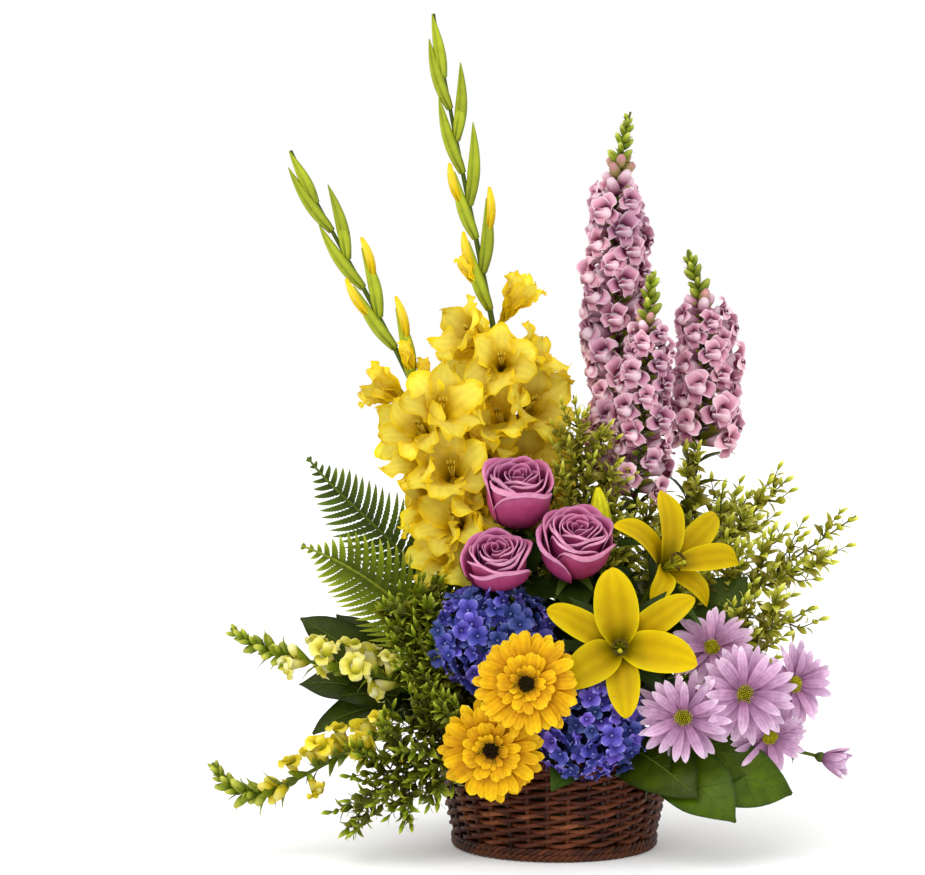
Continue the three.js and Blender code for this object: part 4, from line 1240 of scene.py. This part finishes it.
def grow_fern(name, seed, finish, gap, width, fuller):
    """A frond: pinnae in pairs along the rachis, each with a toothed edge and curved towards the tip.
    fuller is how much longer they are than the CAD frond's reach."""
    node = f"fern_{name}"
    skin = Skin(seed)
    path = centre_line(node, steps=40)
    points = corners(node)
    normal = thin_side(points[np.linalg.norm(points - HEART, axis=1) > FROND_BLADE], FRONT)
    skin.tube(path, (3.0, 1.2), finish, 0.1, sides=6)
    across = unit(np.cross(normal, heading(path, 0.7)))
    shares = np.linspace(FROND_START, 0.99, int((1 - FROND_START) * span(path) / gap))
    reach = {sign: frond_reach(node, path, across * sign, shares) for sign in (-1, 1)}
    teeth = np.where(np.arange(25) % 2, 1.0, 0.74)
    teeth[[0, 2, 24]] = 1.0
    for k, share in enumerate(shares):
        base, ahead = spot(path, share)
        out = unit(np.cross(normal, ahead))
        for sign in (-1, 1):
            long = reach[sign][max(0, k - 2):k + 3].mean() * fuller * min(1.0, (1.04 - share) / 0.17)
            long = max(5.0, long) * skin.between(0.93, 1.05)
            tilt = normal + skin.stray(0.12) * ahead
            side = np.array([unit(out * sign + ahead * 0.32), unit(ahead - out * sign * 0.32), unit(tilt)])
            blade = petal(long, width * min(1.0, 0.45 + long / 40),
                (0.96, 1.04, 1.02, 0.94, 0.78, 0.52, 0.06), (12, 5, -4, -14), cup=(0.4, 0.25),
                start=-1.0, sway=long * 0.25, size=(25, 3))
            for edge in (0, 2):
                blade[:, edge, 1] = blade[:, 1, 1] + (blade[:, edge, 1] - blade[:, 1, 1]) * teeth
            skin.sheet(base + blade @ side, finish, skin.chance(), flip=sign < 0)
    skin.piece(node, "fern_leaf")


def leaf_tips(node, count):
    """The tips of a CAD spray's leaves: corners of its outer hull where the faces close up to a point."""
    shape = bmesh.new()
    shape.from_mesh(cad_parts[node].data)
    bmesh.ops.remove_doubles(shape, verts=shape.verts, dist=1e-6)
    shape.verts.ensure_lookup_table()
    co = np.array([v.co for v in shape.verts]) / MM
    total = np.array([sum(loop.calc_angle() for loop in v.link_loops) for v in shape.verts])
    hull = bmesh.ops.convex_hull(shape, input=shape.verts)["geom"]
    outer = np.zeros(len(co), bool)
    outer[[part.index for part in hull if isinstance(part, bmesh.types.BMVert)]] = True
    shape.free()
    offset = co - HEART
    aim = unit(offset[np.linalg.norm(offset, axis=1) < CLEAR_OF_FOAM].mean(0))
    off_stem = np.linalg.norm(offset - np.outer(offset @ aim, aim), axis=1)
    pointed = outer & (total < math.radians(LEAF_TIP_ANGLE))
    pointed &= (off_stem > CLEAR_OF_STEM) & (offset @ aim > CLEAR_OF_FOAM)
    found = []
    for point in sorted(co[pointed], key=lambda p: -np.linalg.norm(p - co.mean(0))):
        if len(found) < count and all(np.linalg.norm(point - other) > LEAF_TIP_GAP for other in found):
            found.append(point)
    return np.array(found)


def salal_blade(skin, base, tip, width, tint, front):
    """One broad leaf from its stalk to its pointed tip, its upper side turned out, up and, by the share
    front, to the front."""
    reach = tip - base
    length = np.linalg.norm(reach)
    ahead = unit(reach)
    outward = unit(tip - HEART * 2)
    normal = unit(outward * 0.75 * (1 - front) + SKY * 0.5 + FRONT * (0.35 + front) - ahead * 0.2)
    normal = unit(normal - ahead * (normal @ ahead))
    side = np.array([ahead, np.cross(normal, ahead), normal])
    stalk = 0.12
    blade = petal(length * (1 - stalk) * 1.03, width, (0.1, 0.74, 1.0, 0.98, 0.84, 0.5, 0.0),
        (26, 10.4, 0, -15.6, -26), cup=(0.55, 0.34, 0.28, 0.4), start=length * stalk,
        ruffle=width * 0.025, waves=2.2, phase=skin.chance() * 6.3, size=(15, 11))
    rise = np.linspace(0, 1, 15)[:, None]
    across = np.abs(np.linspace(-1, 1, 11))[None, :]
    blade[..., 2] += 0.7 * np.cos((rise * 7 - across * 1.1) * 2 * math.pi) * across * (1 - across)
    world = base + blade @ side
    skin.sheet(world, salal_leaf, tint)
    skin.tube(np.vstack([base, world[:, 5] + normal * 0.25]), (1.1, 0.2), leaf_rib, 0.4, sides=5)
    for k in range(2, 12, 2):
        for edge in (1, 9):
            vein = np.linspace(world[k, 5], world[k + 2, edge], 4) + normal * 0.12
            skin.tube(vein, (0.3, 0.1), leaf_rib, 0.3, sides=4)


def grow_salal(name, seed, leaves, width=54, long=98, extra=0, front=0.0, bright=1.0, also=()):
    """A spray of broad leaves, as many as its CAD one has, with more at the steps of also from the tip of
    the lowest, and some extra soft ones close to the stem. bright is the greatest tint of a leaf."""
    node = f"salal_{name}"
    skin = Skin(seed)
    tips = leaf_tips(node, leaves)
    tips = np.vstack([tips] + [tips[tips[:, 2].argmin()] + np.array(step) for step in also])
    aim = stem_aim(node)
    bare_end = HEART + aim * BARE_REACH
    crown = tips.mean(0) * 0.55 + bare_end * 0.45
    path = curve([HEART + aim * FOOT_REACH, bare_end, (bare_end + crown) / 2 + SKY * 5, crown], 25)
    skin.tube(path, (2.6, 1.6), cut_stem, sides=8)
    ladder = along(path, np.linspace(0.35, 1, 60))
    for tip in tips:
        away = np.linalg.norm(ladder - tip, axis=1)
        base = ladder[np.abs(away - long).argmin()]
        salal_blade(skin, base, tip, width * skin.between(0.92, 1.06), skin.chance() * bright, front)
    for k in range(extra):
        place = along(path, 0.5 + 0.45 * k / extra), heading(path, 0.8)
        skin.leaf(place, skin.chance() * 360, 58, 34, stem_leaf_painted_shade, rows=12)
    skin.piece(node, "salal_leaf")


def myrtle_sprig(skin, path, leaf, gap, finish, first=0.1):
    """A twig with pairs of small leaves, each pair crossing the one below."""
    count = max(3, int(span(path) * (1 - first) / gap))
    for k in range(count):
        base, ahead = spot(path, first + (0.99 - first) * k / count)
        side = axes(ahead, FRONT if abs(ahead @ FRONT) < 0.95 else SKY)
        size = leaf * (1 - 0.45 * k / count) * skin.between(0.8, 1.15)
        new = 0.25 + 0.6 * k / count
        for turn in (0, 180):
            blade = petal(size, size * 0.54, (0.15, 0.9, 1.0, 0.6, 0.05), (52, 34, 10), cup=(0.4, 0.2),
                start=0.7, size=(5, 3))
            skin.blade(blade, turn + k * 90 + skin.stray(14), base, side, finish,
                float(np.clip(new + skin.stray(0.22), 0, 1)))
    blade = petal(leaf * 0.7, leaf * 0.26, (0.3, 1.0, 0.8, 0.1), (76, 64, 40), start=0.3, size=(4, 3))
    skin.whorl(blade, (0, 120, 240), along(path, 0.97), axes(heading(path, 1.0), FRONT), finish, 0.9)


def grow_myrtle(name, seed, twigs, finish, shoots, twig_length=56, leaf=18.5, gap=5.6, start=0.34, apart=9):
    """A branching sprig. shoots gives each long side shoot's place on the stem and its reach from there,
    gap is the length between two pairs of leaves, start is the share of the stem that is bare, and apart
    is the length of a shoot for each twig on it."""
    node = f"myrtle_{name}"
    skin = Skin(seed)
    path = centre_line(node, steps=36)
    skin.tube(path, (1.9, 0.7), myrtle_twig, sides=6)
    myrtle_sprig(skin, path, leaf, gap, finish, start)
    lines = [(path, start, twigs, twig_length)]
    for share, reach in shoots:
        base, ahead = spot(path, share)
        reach = np.array(reach)
        length = np.linalg.norm(reach)
        shoot = curve([base, base + reach * 0.5 + (ahead - SKY * 0.4) * length * 0.12, base + reach], 13)
        skin.tube(shoot, (1.4, 0.6), myrtle_twig, 0.6, sides=5)
        myrtle_sprig(skin, shoot, leaf, gap, finish)
        lines.append((shoot, 0.12, int(length / apart), twig_length * 0.5))
    for line, first, count, reach in lines:
        for k in range(count):
            base, ahead = spot(line, first + (0.93 - first) * (k + 0.3) / count)
            way = spoke(k * GOLDEN + skin.stray(12), axes(ahead, FRONT))
            long = reach * (1 - 0.68 * k / count) * skin.between(0.75, 1.1)
            twig = curve([base, base + (way * 0.9 + ahead * 0.7) * long * 0.5,
                base + (way * 0.72 + ahead + SKY * 0.15) * long], 9)
            skin.tube(twig, (1.0, 0.4), myrtle_twig, 0.6, sides=5)
            myrtle_sprig(skin, twig, leaf * 0.9, gap, finish)
    skin.piece(node, "myrtle_leaf")


# ---------------- growing the arrangement

weave_wall()
weave_border()
weave_base()
fold_liner()
finish_foam()

for name in ("left", "centre"):
    grow_gladiolus(name)

# The middle and right spikes get pale 0.2 and 0.6: painted light on florets turned away from the key light.
for name, seed, reach, first, pale in (("tall", 101, (42, 43, 43, 41, 26), 0.02, 0.0),
        ("middle", 111, (38, 40, 38, 34, 21), 0.02, 0.2), ("right", 121, (42, 45, 44, 40, 25), 0.055, 0.6)):
    grow_snapdragon(f"snapdragon_{name}", seed, snapdragon_lip, snapdragon_bud, snapdragon_green,
        "lavender_petal", reach, 5.0, 0.9, first=first, pale=pale)
for name, seed, lip, longer in (("upper", 131, cream_lip, 0.05), ("lower", 141, golden_lip, 0.13)):
    grow_snapdragon(f"yellow_snapdragon_{name}", seed, lip, cream_bud, cream_bud, "cream_petal",
        (38, 38, 36, 30, 20), 12.5, 0.74, pale=0.3, tip_size=17, lifted=0.8, longer=longer, bract=28)

grow_rose("rose_top", 21, petals=22, width=67, openness=0.4, tall=0.9)
grow_rose("rose_right", 22, petals=24, width=71, openness=0.7, tall=0.84)
grow_rose("rose_left", 23, petals=22, width=64, openness=0.75, tall=0.73)

grow_lily("lily_front", 31, ((95, 79, 4, 41), (-5, 76, 7, 38), (-149, 62, 9, 37), (39, 93, 8, 28),
    (-85, 69, -9, 31), (149, 87, 18, 27)), (-0.05, -0.99, 0.13), 20)
grow_lily("lily_back", 32, ((93, 74, 2, 34), (1, 84, 12, 25), (-141, 46, 42, 24), (36, 88, 6, 27),
    (-41, 58, 22, 25), (143, 88, 5, 26)), (0.59, -0.73, 0.35), 24, neck=10)
grow_lily_bud()

grow_gerbera("gerbera_upper", 51)
grow_gerbera("gerbera_lower", 52)

grow_daisy_stem()
for name, seed, width in DAISIES:
    grow_daisy(name, seed, width)
grow_daisy_bud()

grow_hydrangea("hydrangea_left", 71, florets=190)
grow_hydrangea("hydrangea_right", 72, florets=180)

grow_fern("upper", 81, fern_dark, 7.5, 6.9, fuller=1.5)
grow_fern("lower", 82, fern_light, 7.1, 7.4, fuller=1.5)
grow_fern("back_left", 83, fern_dark, 7.4, 6.8, fuller=1.1)
grow_fern("back_right", 84, fern_light, 7.4, 6.8, fuller=1.1)

grow_salal("right", 91, 3, width=64, long=108, extra=5, front=0.8, also=((-32, 6, 20),))
# bright=0.2 keeps the left spray's leaves dark: painted shade on leaves tucked behind the yellow
# snapdragons.
grow_salal("left", 92, 3, width=50, extra=9, front=0.2, bright=0.2,
    also=((13, -20, -42), (34, -24, -8), (78, 4, -20), (60, 0, 6)))
grow_salal("centre", 93, 2, extra=9, front=0.5)
grow_salal("back_left", 94, 5, extra=14)
grow_salal("back_right", 95, 5, extra=14)

for name, seed, twigs, twig_length, shoots in (
        ("long", 201, 11, 66, ((0.5, (23, -23, 79)), (0.6, (31, -29, 70)), (0.7, (55, -25, 19)),
            (0.4, (16, -25, 78)))),
        ("low", 202, 10, 60, ((0.7, (32, -18, 55)), (0.6, (23, -24, 63)))),
        ("high", 203, 11, 70, ((0.5, (-8, -31, 114)), (0.6, (-3, -47, 146)), (0.5, (-32, -71, 121)),
            (0.7, (17, -31, 82)), (0.8, (60, -22, 62)), (0.7, (38, -56, 61))))):
    grow_myrtle(f"right_{name}", seed, twigs, painted_sunlit_myrtle_leaf, shoots, twig_length, gap=6.2, apart=14)
grow_myrtle("top", 204, 22, painted_sunlit_myrtle_leaf, ((0.7, (34, -9, 34)), (0.8, (21, -1, 30)),
    (0.7, (-24, 6, 35)), (0.6, (29, -16, 36)), (0.8, (-17, 13, 33)), (0.5, (29, -31, 30)),
    (0.5, (-31, -21, 14)), (0.5, (40, -6, 55)), (0.5, (47, 4, 23))), leaf=16.0, gap=5.0, start=0.4)
grow_myrtle("left_low", 205, 19, myrtle_leaf, ((0.5, (-5, -21, -45)), (0.6, (-14, -19, -54)),
    (0.6, (-30, -2, 36)), (0.5, (-17, -3, 45)), (0.7, (-31, 5, 18)), (0.4, (-18, -14, 35))))
grow_myrtle("left_high", 206, 20, myrtle_leaf, ((0.5, (-51, -24, 26)), (0.6, (-47, -19, 32)),
    (0.7, (-50, -4, 39)), (0.8, (3, 9, 47)), (0.6, (-24, -19, 62)), (0.5, (-28, -28, 49))))


# ---------------- floor, light and camera

CAMERA_PLACE = (-0.083, -2.5, 0.475)
CAMERA_TILT = 2.44  # degrees down from level
CAMERA_LENS = 108.07
FLOOR_REACH = 12.0


def stand(name, data):
    """Puts something into the scene."""
    thing = bpy.data.objects.new(name, data)
    bpy.context.scene.collection.objects.link(thing)
    return thing


def make_floor():
    """A plain pale studio floor that sends back a little light of its own."""
    material, tree = finish_tree("painted_studio_floor")
    base = ramp(tree, noise(tree, 25), "0 #f4f4f4 1 #fafafa")
    links = {"Base Color": base, "Roughness": 0.9, "Specular IOR Level": 0.1, "Emission Color": base,
        "Emission Strength": 0.1}
    skin = add(tree, "ShaderNodeBsdfPrincipled", links).outputs[0]
    add(tree, "ShaderNodeOutputMaterial", {"Surface": skin})
    mesh = bpy.data.meshes.new("studio_floor")
    ends = ((-1, -1), (1, -1), (1, 1), (-1, 1))
    mesh.from_pydata([(x * FLOOR_REACH, y * FLOOR_REACH, 0) for x, y in ends], [], [(0, 1, 2, 3)])
    mesh.materials.append(material)
    stand("studio_floor", mesh)


def light_studio():
    """An even white surround, a broad soft key from the upper left front and a weak fill."""
    world = bpy.data.worlds.new("studio")
    world.use_nodes = True
    tree = world.node_tree
    tree.nodes.clear()
    lit, seen = (add(tree, "ShaderNodeBackground", {"Color": (1.0, 1.0, 1.0, 1.0), "Strength": strength})
        for strength in (1.05, 1.0))
    path = add(tree, "ShaderNodeLightPath").outputs["Is Camera Ray"]
    both = add(tree, "ShaderNodeMixShader", {0: path, 1: lit.outputs[0], 2: seen.outputs[0]})
    add(tree, "ShaderNodeOutputWorld", {"Surface": both.outputs[0]})
    bpy.context.scene.world = world
    for name, direction, softness, strength in (("key", (-0.45, -0.8, 0.9), 50, 1.32),
            ("fill", (0.8, -0.6, 0.7), 60, 0.25)):
        light = bpy.data.lights.new(name, "SUN")
        light.energy = strength
        light.angle = math.radians(softness)
        stand(name, light).rotation_euler = Matrix(axes(direction).T.tolist()).to_euler()
    bpy.context.scene.view_settings.view_transform = "Standard"


def place_camera():
    data = bpy.data.cameras.new("camera")
    data.lens = CAMERA_LENS
    data.sensor_width = 36
    camera = stand("camera", data)
    camera.location = CAMERA_PLACE
    camera.rotation_euler = (math.radians(90 - CAMERA_TILT), 0, 0)
    bpy.context.scene.camera = camera


make_floor()
light_studio()
place_camera()
